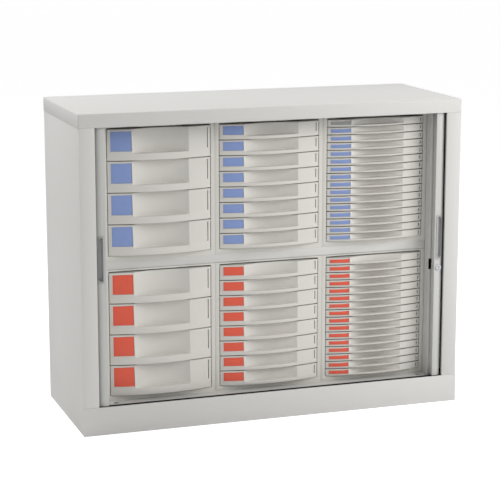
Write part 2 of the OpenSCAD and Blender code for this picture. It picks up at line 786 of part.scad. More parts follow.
// A drawer stands with its slot's floor at height 0 and the middle of its front at X 0
module drawer(count, lip_h, bow, scoop, card_h, card_top, card_colour) {
    pitch = zone_h / count;
    low_z = front_gap / 2;
    high_z = pitch - front_gap / 2;
    half_w = front_w / 2;
    floor_z = runner_t + running_gap;
    tray_top_z = pitch - tray_head;
    scoop_r = arc_radius(scoop_w, scoop);
    lip_r = arc_radius(lip_w, bow);
    card_low_z = high_z - card_top - card_h;
    color(PLASTIC) translate([0, fronts_y, 0]) difference() {
        union() {
            slab([-half_w, 0, low_z], [half_w, front_t, high_z]);
            slab([-half_w, front_t - JOIN, floor_z], [half_w, drawer_len, tray_top_z]);
            // Bowed lip
            intersection() {
                translate([lip_x, lip_r - bow, low_z]) cylinder(r = lip_r, h = lip_h - low_z, $fn = 128);
                slab([-half_w, -bow - CUT, 0], [half_w, JOIN, pitch]);
            }
        }
        // Scoop for the fingers that pull the lip of the drawer above
        translate([scoop_x, scoop - scoop_r, lip_h]) cylinder(r = scoop_r, h = pitch, $fn = 128);
        // Inside of the tray
        slab([tray_wall - half_w, front_t, floor_z + tray_wall],
             [half_w - tray_wall, drawer_len - tray_wall, pitch + CUT]);
        // Hollows behind the flat ends of the front
        slab([tray_wall - half_w, front_wall, floor_z + tray_wall],
             [scoop_x - scoop_w / 2 - front_wall, front_t + CUT, pitch + CUT]);
        slab([scoop_x + scoop_w / 2 + front_wall, front_wall, floor_z + tray_wall],
             [half_w - tray_wall, front_t + CUT, pitch + CUT]);
        // Recess for the label card
        slab([card_x - half_w - card_play, -CUT, card_low_z - card_play],
             [card_x - half_w + card_w + card_play, card_recess, card_low_z + card_h + card_play]);
        // Upright groove beside the far end
        slab([half_w - groove_x - groove_w, -CUT, card_low_z],
             [half_w - groove_x, groove_t, card_low_z + card_h]);
    }
    color(card_colour) translate([card_x - half_w, fronts_y + card_recess - card_t - seat_gap, card_low_z])
        cube([card_w, card_t, card_h]);
}

// Place of a slot, counted from the top of its housing
module slot_place(column, row, count, i) {
    translate([column * (housing_w + unit_play), 0,
               HOUSING_Z[row] + housing_floor + (count - 1 - i) * zone_h / count]) children();
}

module tall_drawer(row, i) {
    slot_place(COLUMNS[0], row, tall_count, i)
        drawer(tall_count, tall_lip_h, tall_bow, tall_scoop, tall_card_h, tall_card_top, CARD_COLOURS[row]);
}

module medium_drawer(row, i) {
    slot_place(COLUMNS[1], row, medium_count, i)
        drawer(medium_count, medium_lip_h, medium_bow, medium_scoop, medium_card_h, medium_card_top,
               CARD_COLOURS[row]);
}

// Two thin drawers, one above the other
module thin_drawers(row, pair) {
    for (i = [2 * pair, 2 * pair + 1]) {
        blank = row == 1 && i == 0;
        slot_place(COLUMNS[2], row, thin_count, i)
            drawer(thin_count, thin_lip_h, thin_bow, thin_scoop, thin_card_h, thin_card_top,
                   blank ? BLANK_CARD : CARD_COLOURS[row]);
    }
}

top_panel();
mirror([1, 0, 0]) side_panel();  // left_side_panel
side_panel();  // right_side_panel
back_panel();
base_and_plinth();
centre_shelf();
pocket_liners_and_shelf_clips();
levelling_feet();
shutter_tracks();
housings(COLUMNS[0], tall_count);  // tall_drawer_housings
housings(COLUMNS[1], medium_count);  // medium_drawer_housings
housings(COLUMNS[2], thin_count);  // thin_drawer_housings
mirror([1, 0, 0]) curtain();  // left_curtain
curtain();  // right_curtain
left_lead_bar();
right_lead_bar();
mirror([1, 0, 0]) handle();  // left_handle
handle();  // right_handle
lock_barrel();
lock_bolt();
for (row = ROWS) {
    for (i = [0:tall_count - 1])
        tall_drawer(row, i);
    for (i = [0:medium_count - 1])
        medium_drawer(row, i);
    for (i = [0:thin_count / 2 - 1])
        thin_drawers(row, i);
}
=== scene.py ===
"""Looks of the small parts drawer cabinet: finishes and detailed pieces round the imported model.

Places are in metres in the model's own frame: X along the front, Y from the front to the back and Z
up, with the origin on the floor in the middle. Sizes of the cabinet's pieces are given in millimetres
and turned into metres with MM.
"""

import logging
import math
from dataclasses import dataclass
from enum import Enum
from typing import Callable, Iterable, Optional, Union

import bpy
from mathutils import Matrix, Vector


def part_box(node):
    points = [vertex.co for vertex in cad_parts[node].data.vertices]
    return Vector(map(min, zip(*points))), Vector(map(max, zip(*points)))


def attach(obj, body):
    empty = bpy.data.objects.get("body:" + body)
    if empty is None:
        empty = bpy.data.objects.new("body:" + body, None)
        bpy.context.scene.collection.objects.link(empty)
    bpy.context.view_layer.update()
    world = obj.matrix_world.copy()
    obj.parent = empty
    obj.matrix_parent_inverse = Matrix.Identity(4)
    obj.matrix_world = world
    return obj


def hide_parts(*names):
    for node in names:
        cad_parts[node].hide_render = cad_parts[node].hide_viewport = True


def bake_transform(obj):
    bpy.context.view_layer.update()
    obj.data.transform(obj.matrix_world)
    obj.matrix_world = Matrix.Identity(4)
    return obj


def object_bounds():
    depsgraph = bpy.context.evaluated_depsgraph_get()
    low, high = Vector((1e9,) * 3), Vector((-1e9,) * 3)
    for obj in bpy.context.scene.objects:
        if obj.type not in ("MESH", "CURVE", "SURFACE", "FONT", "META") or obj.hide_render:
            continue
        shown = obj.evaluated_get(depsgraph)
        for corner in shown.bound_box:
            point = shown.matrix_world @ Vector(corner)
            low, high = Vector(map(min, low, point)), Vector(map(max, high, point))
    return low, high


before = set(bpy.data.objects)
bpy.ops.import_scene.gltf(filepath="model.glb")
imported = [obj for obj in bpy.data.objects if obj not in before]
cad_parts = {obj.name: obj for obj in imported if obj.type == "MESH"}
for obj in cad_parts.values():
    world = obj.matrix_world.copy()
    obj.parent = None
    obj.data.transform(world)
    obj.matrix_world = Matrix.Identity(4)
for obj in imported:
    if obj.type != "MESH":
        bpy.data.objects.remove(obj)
CAD_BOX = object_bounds()

LOG = logging.getLogger("cabinet")
MM = 0.001
# Distance under which two points of a mesh are one point
WELD = MM / 100
# Least share of a face's normal along an axis for the face to look that way
FACING = 0.9

# Says for a face's centre and normal, or for an edge's two ends, if it is wanted
Pick = Callable[[Vector, Vector], bool]


class Body(str, Enum):
    """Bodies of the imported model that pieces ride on."""

    CARCASE = "carcase"
    LEFT_SHUTTER = "left_shutter"
    RIGHT_SHUTTER = "right_shutter"
    LOCK_BARREL = "lock_barrel"


class Slot(str, Enum):
    """Material slots of the record."""

    STEEL = "carcase_steel"
    BAR = "bar_coated_metal"
    DRAWER = "drawer_plastic"
    HOUSING = "housing_plastic"
    SLAT = "slat_plastic"
    HANDLE = "handle_plastic"
    TRACK = "track_plastic"
    ZINC = "zinc_plated_steel"
    CHROME = "lock_chrome"


class Side(Enum):
    """Sides of the cabinet, by the sign of X."""

    LEFT = -1
    RIGHT = 1


# Modelling


def deselect_all() -> None:
    """Leaves nothing selected, in object mode."""
    if bpy.context.object is not None and bpy.context.object.mode != "OBJECT":
        bpy.ops.object.mode_set(mode="OBJECT")
    bpy.ops.object.select_all(action="DESELECT")


def make_active(piece: bpy.types.Object) -> None:
    """Selects one piece alone and makes it the active one.

    Args:
        piece: The piece that the next operators act on.
    """
    deselect_all()
    piece.select_set(True)
    bpy.context.view_layer.objects.active = piece


def settle(piece: bpy.types.Object) -> bpy.types.Object:
    """Moves a piece's place, turn and scale into its mesh.

    Args:
        piece: The piece to settle.

    Returns:
        The same piece, at the origin.
    """
    make_active(piece)
    bpy.ops.object.transform_apply(location=True, rotation=True, scale=True)
    return piece


def block(name: str, low: Iterable[float], high: Iterable[float]) -> bpy.types.Object:
    """Adds a block between two opposite corners.

    Args:
        name: Name of the new piece.
        low: Lowest corner, in metres.
        high: Highest corner, in metres.

    Returns:
        The new piece, settled.
    """
    low, high = Vector(low), Vector(high)
    deselect_all()
    bpy.ops.mesh.primitive_cube_add(size=1, location=(low + high) / 2)
    piece = bpy.context.object
    piece.name = name
    piece.scale = high - low
    return settle(piece)


def rod(
    name: str, start: Iterable[float], end: Iterable[float], radius: float, sides: int
) -> bpy.types.Object:
    """Adds a round rod from one point to another.

    Args:
        name: Name of the new piece.
        start: Middle of the first end, in metres.
        end: Middle of the other end, in metres.
        radius: Radius of the rod.
        sides: Number of flat sides.

    Returns:
        The new piece, settled.
    """
    start, end = Vector(start), Vector(end)
    deselect_all()
    bpy.ops.mesh.primitive_cylinder_add(
        vertices=sides, radius=radius, depth=(end - start).length, location=(start + end) / 2
    )
    piece = bpy.context.object
    piece.name = name
    piece.rotation_mode = "QUATERNION"
    piece.rotation_quaternion = (end - start).to_track_quat("Z", "Y")
    return settle(piece)


def clear_picks(piece: bpy.types.Object, kind: str) -> None:
    """Makes a piece active in object mode with nothing of its mesh selected.

    Args:
        piece: The piece that is picked from next.
        kind: "FACE" or "EDGE", whichever is picked.
    """
    make_active(piece)
    bpy.ops.object.mode_set(mode="EDIT")
    bpy.ops.mesh.select_mode(type=kind)
    bpy.ops.mesh.select_all(action="DESELECT")
    bpy.ops.object.mode_set(mode="OBJECT")


def pick_faces(piece: bpy.types.Object, pick: Pick) -> None:
    """Selects faces by place and normal, and goes into edit mode.

    Args:
        piece: The piece whose faces are picked.
        pick: Says for a face's centre and normal if it is wanted.
    """
    clear_picks(piece, "FACE")
    for face in piece.data.polygons:
        face.select = pick(face.center, face.normal)
    bpy.ops.object.mode_set(mode="EDIT")


def pick_edges(piece: bpy.types.Object, pick: Pick) -> int:
    """Selects edges by the places of their ends, and goes into edit mode.

    Args:
        piece: The piece whose edges are picked.
        pick: Says for an edge's two ends if it is wanted.

    Returns:
        How many edges were picked.
    """
    clear_picks(piece, "EDGE")
    points = piece.data.vertices
    count = 0
    for edge in piece.data.edges:
        edge.select = pick(points[edge.vertices[0]].co, points[edge.vertices[1]].co)
        count += int(edge.select)
    bpy.ops.object.mode_set(mode="EDIT")
    return count


def leave_edit() -> None:
    """Goes back to object mode."""
    bpy.ops.object.mode_set(mode="OBJECT")


def round_edges(piece: bpy.types.Object, width: float, segments: int, pick: Pick) -> None:
    """Rounds the picked edges of a piece.

    Args:
        piece: The piece to shape.
        width: Width of the rounding.
        segments: Steps over the rounding.
        pick: Says for an edge's two ends if it is wanted.
    """
    if pick_edges(piece, pick):
        bpy.ops.mesh.bevel(offset=width, segments=segments, profile=0.5, affect="EDGES", clamp_overlap=True)
    leave_edit()


def apply_modifier(piece: bpy.types.Object, kind: str, **settings: object) -> None:
    """Adds a modifier to a piece and applies it.

    Args:
        piece: The piece to shape.
        kind: The modifier's type.
        **settings: Its settings.
    """
    make_active(piece)
    modifier = piece.modifiers.new(kind.lower(), kind)
    for name, value in settings.items():
        setattr(modifier, name, value)
    bpy.ops.object.modifier_apply(modifier=modifier.name)


def soften(piece: bpy.types.Object, width: float, segments: int = 2, least_angle: float = 32.0) -> None:
    """Rounds every sharp edge of a piece.

    Args:
        piece: The piece to shape.
        width: Width of the rounding.
        segments: Steps over the rounding.
        least_angle: Least angle between two faces whose edge is rounded, in degrees.
    """
    angle = math.radians(least_angle)
    limit = {"limit_method": "ANGLE", "angle_limit": angle, "use_clamp_overlap": True}
    apply_modifier(piece, "BEVEL", width=width, segments=segments, **limit)


def add_wall(piece: bpy.types.Object, thickness: float, even: bool = False) -> None:
    """Turns a sheet or an open tube into a closed shell, with its wall on the inside.

    Args:
        piece: The piece to shape.
        thickness: Thickness of the wall.
        even: Whether the wall is kept even round corners.
    """
    apply_modifier(piece, "SOLIDIFY", thickness=thickness, offset=-1.0, use_even_offset=even)
    merge_points(piece)


def cut(piece: bpy.types.Object, tool: bpy.types.Object, operation: str = "DIFFERENCE") -> None:
    """Cuts one piece with another, which is used up.

    Args:
        piece: The piece that is cut.
        tool: The piece that it is cut with.
        operation: "DIFFERENCE" takes the tool away, and "INTERSECT" keeps what lies in it.
    """
    apply_modifier(piece, "BOOLEAN", operation=operation, solver="EXACT", object=tool)
    bpy.data.objects.remove(tool)


def join(name: str, pieces: list[bpy.types.Object]) -> bpy.types.Object:
    """Joins several pieces into one.

    Args:
        name: Name of the joined piece.
        pieces: The pieces to join.

    Returns:
        The joined piece.
    """
    make_active(pieces[0])
    for piece in pieces[1:]:
        piece.select_set(True)
    bpy.ops.object.join()
    joined = bpy.context.object
    joined.name = name
    return joined


def copied(piece: bpy.types.Object, name: str, move: Matrix) -> bpy.types.Object:
    """Copies a piece with a mesh of its own.

    Args:
        piece: The piece to copy.
        name: Name of the copy.
        move: Where the copy goes, from the place of the first piece.

    Returns:
        The copy.
    """
    copy = bpy.data.objects.new(name, piece.data.copy())
    copy.data.transform(move)
    if move.determinant() < 0:
        copy.data.flip_normals()
    bpy.context.scene.collection.objects.link(copy)
    return copy


def smooth(piece: bpy.types.Object, angle: float = 40.0) -> None:
    """Shades a piece smoothly over edges that turn less than an angle.

    Args:
        piece: The piece to shade.
        angle: Angle above which an edge stays sharp, in degrees.
    """
    make_active(piece)
    bpy.ops.object.shade_smooth_by_angle(angle=math.radians(angle))


def merge_points(piece: bpy.types.Object, distance: float = MM / 1000) -> None:
    """Merges points that lie together and turns every face outwards.

    Args:
        piece: The piece to clean.
        distance: Greatest distance between points that are merged.
    """
    make_active(piece)
    bpy.ops.object.mode_set(mode="EDIT")
    bpy.ops.mesh.select_all(action="SELECT")
    bpy.ops.mesh.remove_doubles(threshold=distance)
    bpy.ops.mesh.normals_make_consistent(inside=False)
    leave_edit()


def node_copy(node: str, name: str) -> bpy.types.Object:
    """Copies a node's mesh as a clean piece of flat faces that can be worked on.

    Args:
        node: Name of the CAD node.
        name: Name of the new piece.

    Returns:
        The new piece.
    """
    flat_angle = math.radians(0.5)
    piece = bpy.data.objects.new(name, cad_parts[node].data.copy())
    piece.data.materials.clear()
    bpy.context.scene.collection.objects.link(piece)
    make_active(piece)
    bpy.ops.object.mode_set(mode="EDIT")
    bpy.ops.mesh.select_all(action="SELECT")
    bpy.ops.mesh.remove_doubles(threshold=WELD)
    bpy.ops.mesh.dissolve_limited(angle_limit=flat_angle)
    leave_edit()
    return piece


def paint_node(node: str, finish: bpy.types.Material) -> None:
    """Gives a CAD node that stays in view its material.

    Args:
        node: Name of the CAD node.
        finish: The material.
    """
    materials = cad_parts[node].data.materials
    materials.clear()
    materials.append(finish)


def dress(
    piece: bpy.types.Object,
    finish: bpy.types.Material,
    body: str,
    nodes: Iterable[str] = (),
) -> bpy.types.Object:
    """Gives a finished piece its material and body, and hides the nodes that it stands for.

    Args:
        piece: The finished piece.
        finish: Its material.
        body: The body that it rides on.
        nodes: The CAD nodes that it replaces.

    Returns:
        The same piece.
    """
    piece.data.materials.clear()
    piece.data.materials.append(finish)
    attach(piece, body)
    if nodes:
        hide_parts(*nodes)
    return piece


# Finishes


def linear(red: float, green: float, blue: float) -> tuple[float, float, float, float]:
    """Turns a colour as it shows on a screen, from 0 to 255, into the linear colour that a shader takes.

    Args:
        red: Red, from 0 to 255.
        green: Green, from 0 to 255.
        blue: Blue, from 0 to 255.

    Returns:
        The linear colour, opaque.
    """
    # The curve is the standard one of a screen
    shares = [value / 255 for value in (red, green, blue)]
    bent = [share / 12.92 if share <= 0.04045 else ((share + 0.055) / 1.055) ** 2.4 for share in shares]
    return (*bent, 1.0)


def maths(
    tree: bpy.types.NodeTree, operation: str, *sources: Union[float, bpy.types.NodeSocket]
) -> bpy.types.Node:
    """Adds a maths node to a node tree.

    Args:
        tree: The node tree.
        operation: What the node works out.
        *sources: A number or a socket for each of its inputs.

    Returns:
        The new node.
    """
    node = tree.nodes.new("ShaderNodeMath")
    node.operation = operation
    for socket, source in zip(node.inputs, sources):
        if isinstance(source, float):
            socket.default_value = source
        else:
            tree.links.new(source, socket)
    return node


class Effects:
    """Shader node groups that several finishes share."""

    def __init__(self) -> None:
        """Builds every group once."""
        self.tone = self._tone_group()
        self.grain = self._grain_group()

    @staticmethod
    def _empty_group(name: str) -> tuple[bpy.types.NodeTree, bpy.types.Node, bpy.types.Node]:
        """Starts a node group.

        Args:
            name: Name of the group.

        Returns:
            The group, its input node and its output node.
        """
        group = bpy.data.node_groups.new(name, "ShaderNodeTree")
        return group, group.nodes.new("NodeGroupInput"), group.nodes.new("NodeGroupOutput")

    def _tone_group(self) -> bpy.types.NodeTree:
        """Builds the group that varies a colour and a roughness slowly over a surface.

        Returns:
            The group. It takes Colour, Roughness, Amount and Scale, and gives Colour and Roughness.
        """
        group, source, result = self._empty_group("slow_tone")
        face = group.interface
        face.new_socket("Colour", in_out="INPUT", socket_type="NodeSocketColor")
        for name in ("Roughness", "Amount", "Scale"):
            face.new_socket(name, in_out="INPUT", socket_type="NodeSocketFloat")
        face.new_socket("Colour", in_out="OUTPUT", socket_type="NodeSocketColor")
        face.new_socket("Roughness", in_out="OUTPUT", socket_type="NodeSocketFloat")
        nodes, links = group.nodes, group.links
        place = nodes.new("ShaderNodeTexCoord")
        noise = nodes.new("ShaderNodeTexNoise")
        noise.inputs["Detail"].default_value = 3.0
        noise.inputs["Roughness"].default_value = 0.55
        links.new(place.outputs["Object"], noise.inputs["Vector"])
        links.new(source.outputs["Scale"], noise.inputs["Scale"])
        middle, rough_share = 0.5, 0.8
        centred = maths(group, "SUBTRACT", noise.outputs["Fac"], middle)
        swing = maths(group, "MULTIPLY", centred.outputs[0], source.outputs["Amount"])
        factor = maths(group, "ADD", swing.outputs[0], 1.0)
        tint = nodes.new("ShaderNodeVectorMath")
        tint.operation = "SCALE"
        links.new(source.outputs["Colour"], tint.inputs[0])
        links.new(factor.outputs[0], tint.inputs["Scale"])
        links.new(tint.outputs[0], result.inputs["Colour"])
        rough = maths(group, "MULTIPLY_ADD", swing.outputs[0], rough_share, source.outputs["Roughness"])
        rough.use_clamp = True
        links.new(rough.outputs[0], result.inputs["Roughness"])
        return group

    def _grain_group(self) -> bpy.types.NodeTree:
        """Builds the group for the fine relief of a coat, a mould or a brushed surface.

        Returns:
            The group. It takes Scale, Stretch and Depth, and gives Normal.
        """
        group, source, result = self._empty_group("fine_relief")
        face = group.interface
        face.new_socket("Scale", in_out="INPUT", socket_type="NodeSocketFloat")
        face.new_socket("Stretch", in_out="INPUT", socket_type="NodeSocketVector")
        face.new_socket("Depth", in_out="INPUT", socket_type="NodeSocketFloat")
        face.new_socket("Normal", in_out="OUTPUT", socket_type="NodeSocketVector")
        nodes, links = group.nodes, group.links
        place = nodes.new("ShaderNodeTexCoord")
        stretched = nodes.new("ShaderNodeVectorMath")
        stretched.operation = "MULTIPLY"
        links.new(place.outputs["Object"], stretched.inputs[0])
        links.new(source.outputs["Stretch"], stretched.inputs[1])
        noise = nodes.new("ShaderNodeTexNoise")
        noise.inputs["Detail"].default_value = 2.0
        links.new(stretched.outputs[0], noise.inputs["Vector"])
        links.new(source.outputs["Scale"], noise.inputs["Scale"])
        bump = nodes.new("ShaderNodeBump")
        bump.inputs["Strength"].default_value = 0.6
        links.new(noise.outputs["Fac"], bump.inputs["Height"])
        links.new(source.outputs["Depth"], bump.inputs["Distance"])
        links.new(bump.outputs["Normal"], result.inputs["Normal"])
        return group


@dataclass(frozen=True)
class Finish:
    """A surface finish made from one Principled shader and the shared effects.

    Attributes:
        name: Name of the material.
        colour: Colour as it shows on a screen, from 0 to 255.
        roughness: Roughness of the surface.
        tone_amount: How much the colour varies over the surface.
        tone_scale: Patches of tone to a metre.
        grain_scale: Grains to a metre.
        grain_depth: Depth of the grain, in metres.
        grain_stretch: Share of the grain's scale along each axis.
        metallic: 1 for bare metal.
        coat: Weight of a clear coat.
    """

    name: str
    colour: tuple[float, float, float]
    roughness: float
    tone_amount: float
    tone_scale: float
    grain_scale: float
    grain_depth: float
    grain_stretch: tuple[float, float, float] = (1.0, 1.0, 1.0)
    metallic: float = 0.0
    coat: float = 0.0

    def build(self, effects: Effects) -> bpy.types.Material:
        """Makes the material.

        Args:
            effects: The shared node groups.

        Returns:
            The new material.
        """
        material = bpy.data.materials.new(self.name)
        material.use_nodes = True
        nodes, links = material.node_tree.nodes, material.node_tree.links
        shader = nodes["Principled BSDF"]
        shader.inputs["Metallic"].default_value = self.metallic
        shader.inputs["Coat Weight"].default_value = self.coat
        tone = nodes.new("ShaderNodeGroup")
        tone.node_tree = effects.tone
        tone.inputs["Colour"].default_value = linear(*self.colour)
        tone.inputs["Roughness"].default_value = self.roughness
        tone.inputs["Amount"].default_value = self.tone_amount
        tone.inputs["Scale"].default_value = self.tone_scale
        links.new(tone.outputs["Colour"], shader.inputs["Base Color"])
        links.new(tone.outputs["Roughness"], shader.inputs["Roughness"])
        grain = nodes.new("ShaderNodeGroup")
        grain.node_tree = effects.grain
        grain.inputs["Scale"].default_value = self.grain_scale
        grain.inputs["Stretch"].default_value = self.grain_stretch
        grain.inputs["Depth"].default_value = self.grain_depth
        links.new(grain.outputs["Normal"], shader.inputs["Normal"])
        return material


class Finishes:
    """Every finish on the cabinet."""

    def __init__(self) -> None:
        """Builds the materials."""
        effects = Effects()
        along_slat = (1.0, 1.0, 0.02)

        def made(
            name: str,
            colour: tuple[float, float, float],
            roughness: float,
            tone: tuple[float, float],
            grain: tuple[float, float],
            **extra: object,
        ) -> bpy.types.Material:
            """Makes a finish: tone is its amount and patches to a metre, grain its grains and depth."""
            return Finish(name, colour, roughness, *tone, *grain, **extra).build(effects)

        steel, bar = (208, 207, 204), (196, 196, 193)
        drawer, housing, slat = (210, 207, 201), (208, 206, 199), (202, 201, 197)
        handle, track = (176, 177, 176), (30, 30, 31)
        zinc, chrome = (172, 174, 178), (206, 208, 212)
        self.steel = made("grey_powder_coat", steel, 0.48, (0.03, 3.0), (900.0, 0.00006), coat=0.05)
        self.bar = made("grey_bar_coat", bar, 0.34, (0.03, 5.0), (1100.0, 0.00003))
        self.drawer = made("moulded_drawer_plastic", drawer, 0.38, (0.03, 8.0), (1500.0, 0.00003))
        self.housing = made("moulded_housing_plastic", housing, 0.45, (0.03, 7.0), (1300.0, 0.00004))
        ribbed = {"grain_stretch": along_slat}
        self.slat = made("ribbed_slat_plastic", slat, 0.4, (0.04, 6.0), (900.0, 0.00003), **ribbed)
        self.handle = made("matt_handle_plastic", handle, 0.5, (0.04, 12.0), (1600.0, 0.00005))
        self.track = made("black_track_plastic", track, 0.5, (0.1, 9.0), (900.0, 0.00005))
        self.zinc = made("zinc_plate", zinc, 0.32, (0.12, 40.0), (700.0, 0.00003), metallic=1.0)
        self.chrome = made("polished_chrome", chrome, 0.12, (0.05, 60.0), (500.0, 0.00001), metallic=1.0)
        card = {"roughness": 0.5, "tone": (0.07, 60.0), "grain": (3000.0, 0.00004)}
        self.blue_card = made("blue_label_card", (132, 153, 203), **card)
        self.red_card = made("red_label_card", (225, 92, 70), **card)
        self.blank_card = made("blank_label_card", (158, 160, 160), **card)


# Carcase


@dataclass
class Carcase:
    """The folded steel carcase, its tracks and feet, and the housings that carry the drawers.

    Attributes:
        finishes: The cabinet's finishes.
        cap_fold: Outside radius of the cap's folded edges, in millimetres.
        stile_fold: Outside radius of the corner between a side and its stile.
        hem_fold: Radius of the folds over and under the opening.
        stile_hem: Radius of the folds at the stiles' inner edges.
        stile_room: How far behind the stile's inner edge its folds are looked for.
        fold_steps: Steps over an outside fold.
        hem_steps: Steps over a fold at the opening.
        sheet_edge: Rounding of every other sheet edge.
        mould_edge: Rounding of the shelf's edges.
        shelf_back: How far the shelf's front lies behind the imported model's, in line with the housings.
        housing_edge: Rounding of the housings' edges.
        mouth_edge: Rounding of the upright edges at their openings.
        mouth_room: How far from its drawers' ends such an edge may lie.
        head_room: Height of the shadow gap over their top drawers.
        head_depth: Depth of that gap.
        near: How near a point lies to the place that it is picked by.
    """

    finishes: Finishes
    cap_fold: float = 3.5
    stile_fold: float = 3.5
    hem_fold: float = 2.2
    stile_hem: float = 3.0
    stile_room: float = 4.0
    fold_steps: int = 4
    hem_steps: int = 3
    sheet_edge: float = 0.3
    mould_edge: float = 0.6
    shelf_back: float = 19.0
    housing_edge: float = 0.25
    mouth_edge: float = 1.8
    mouth_room: float = 3.0
    head_room: float = 3.5
    head_depth: float = 60.0
    near: float = 0.05

    def _at(self, value: float, place: float) -> bool:
        """Says if a value is at a place, both in metres."""
        return abs(value - place) < self.near * MM

    def cap(self) -> bpy.types.Object:
        """Makes the top with its fascia and its flanges.

        Returns:
            The finished piece.
        """
        low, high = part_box("top_panel")
        piece = node_copy("top_panel", "cap")

        def outer_corner(point: Vector) -> bool:
            """Says if a point lies at an outer corner, seen from above."""
            return self._at(abs(point.x), high.x) and self._at(abs(point.y), high.y)

        def outer_rim(point: Vector) -> bool:
            """Says if a point lies on the upper outer rim."""
            at_edge = self._at(abs(point.x), high.x) or self._at(abs(point.y), high.y)
            return at_edge and self._at(point.z, high.z)

        def folded(a: Vector, b: Vector) -> bool:
            """Picks the rim and the upright corners."""
            upright = outer_corner(a) and outer_corner(b) and not self._at(a.z, b.z)
            return upright or (outer_rim(a) and outer_rim(b))

        round_edges(piece, self.cap_fold * MM, self.fold_steps, folded)

        def fascia_foot(a: Vector, b: Vector) -> bool:
            """Picks the front's lower edge."""
            return all(self._at(p.z, low.z) and self._at(p.y, low.y) for p in (a, b))

        round_edges(piece, self.hem_fold * MM, self.hem_steps, fascia_foot)
        soften(piece, self.sheet_edge * MM)
        smooth(piece)
        return dress(piece, self.finishes.steel, Body.CARCASE.value, ["top_panel"])

    def side(self, side: Side) -> bpy.types.Object:
        """Makes a side sheet with its stile.

        Args:
            side: Which side it is.

        Returns:
            The finished piece.
        """
        node = f"{side.name.lower()}_side_panel"
        low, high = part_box(node)
        outer_x = max(abs(low.x), abs(high.x))
        inner_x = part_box("left_curtain")[1].x if side is Side.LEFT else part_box("right_curtain")[0].x
        piece = node_copy(node, f"{side.name.lower()}_side_with_stile")

        def outer_fold(a: Vector, b: Vector) -> bool:
            """Picks the corner between the side and its stile."""
            return all(self._at(p.y, low.y) and self._at(abs(p.x), outer_x) for p in (a, b))

        def inner_fold(a: Vector, b: Vector) -> bool:
            """Picks the stile's edges at the opening."""
            reach = abs(inner_x) + self.stile_room * MM
            return all(self._at(p.y, low.y) and abs(p.x) < reach for p in (a, b))

        round_edges(piece, self.stile_fold * MM, self.fold_steps, outer_fold)
        round_edges(piece, self.stile_hem * MM, self.hem_steps, inner_fold)
        soften(piece, self.sheet_edge * MM)
        smooth(piece)
        return dress(piece, self.finishes.steel, Body.CARCASE.value, [node])

    def base(self) -> bpy.types.Object:
        """Makes the plinth, the deck and the base.

        Returns:
            The finished piece.
        """
        low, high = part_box("base_and_plinth")
        piece = node_copy("base_and_plinth", "base_with_plinth_and_deck")

        def top_fold(a: Vector, b: Vector) -> bool:
            """Picks the plinth's upper front edge."""
            return all(self._at(p.z, high.z) and self._at(p.y, low.y) for p in (a, b))

        round_edges(piece, self.hem_fold * MM, self.hem_steps, top_fold)
        soften(piece, self.sheet_edge * MM)
        smooth(piece)
        return dress(piece, self.finishes.steel, Body.CARCASE.value, ["base_and_plinth"])

    def plain_sheet(self, node: str, name: str, edge: float) -> bpy.types.Object:
        """Makes a node of folded sheet with rounded edges.

        Args:
            node: The CAD node.
            name: Name of the piece.
            edge: Rounding of its edges, in millimetres.

        Returns:
            The finished piece.
        """
        piece = node_copy(node, name)
        soften(piece, edge * MM)
        smooth(piece)
        return dress(piece, self.finishes.steel, Body.CARCASE.value, [node])

    def shelf(self) -> bpy.types.Object:
        """Makes the folded shelf between the two rows of housings.

        Returns:
            The finished piece.
        """
        front_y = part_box("tall_drawer_housings")[0].y
        piece = node_copy("centre_shelf", "folded_centre_shelf")
        for vertex in piece.data.vertices:
            if vertex.co.y < front_y + MM:
                vertex.co.y += self.shelf_back * MM
        soften(piece, self.mould_edge * MM)
        smooth(piece)
        return dress(piece, self.finishes.steel, Body.CARCASE.value, ["centre_shelf"])

    def housing(self, word: str) -> bpy.types.Object:
        """Makes the two housings of one column.

        Args:
            word: The column's kind of drawer.

        Returns:
            The finished piece.
        """
        node = f"{word}_drawer_housings"
        front_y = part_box(node)[0].y
        piece = node_copy(node, f"{word}_housings_with_runners")
        for row in ("upper", "lower"):
            drawers = [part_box(n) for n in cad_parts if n.startswith(f"{row}_{word}_drawer")]
            top_z = max(high.z for low, high in drawers)
            low_x, high_x = drawers[0][0].x, drawers[0][1].x
            low = Vector((low_x, front_y - MM, top_z - MM))
            high = Vector((high_x, front_y + self.head_depth * MM, top_z + self.head_room * MM))
            cut(piece, block("head_room", low, high))

        def mouth(a: Vector, b: Vector) -> bool:
            """Picks the upright front edges at the drawers' ends."""
            if min(abs(a.x - low_x), abs(a.x - high_x)) >= self.mouth_room * MM or self._at(a.z, b.z):
                return False
            return self._at(a.x, b.x) and self._at(a.y, front_y) and self._at(b.y, front_y)

        round_edges(piece, self.mouth_edge * MM, self.hem_steps, mouth)
        soften(piece, self.housing_edge * MM)
        smooth(piece)
        return dress(piece, self.finishes.housing, Body.CARCASE.value, [node])

    def build(self) -> list[bpy.types.Object]:
        """Makes every piece of the carcase.

        Returns:
            The finished pieces.
        """
        made = [self.cap(), self.side(Side.LEFT), self.side(Side.RIGHT), self.base()]
        made.append(self.plain_sheet("back_panel", "back_sheet", self.sheet_edge))
        made.append(self.shelf())
        liners = "pocket_liners_and_shelf_clips"
        made.append(self.plain_sheet(liners, "pocket_liners_with_clips", self.sheet_edge))
        made += [self.housing(word) for word in ("tall", "medium", "thin")]
        paint_node("levelling_feet", self.finishes.zinc)
        paint_node("shutter_tracks", self.finishes.track)
        return made


# Drawers


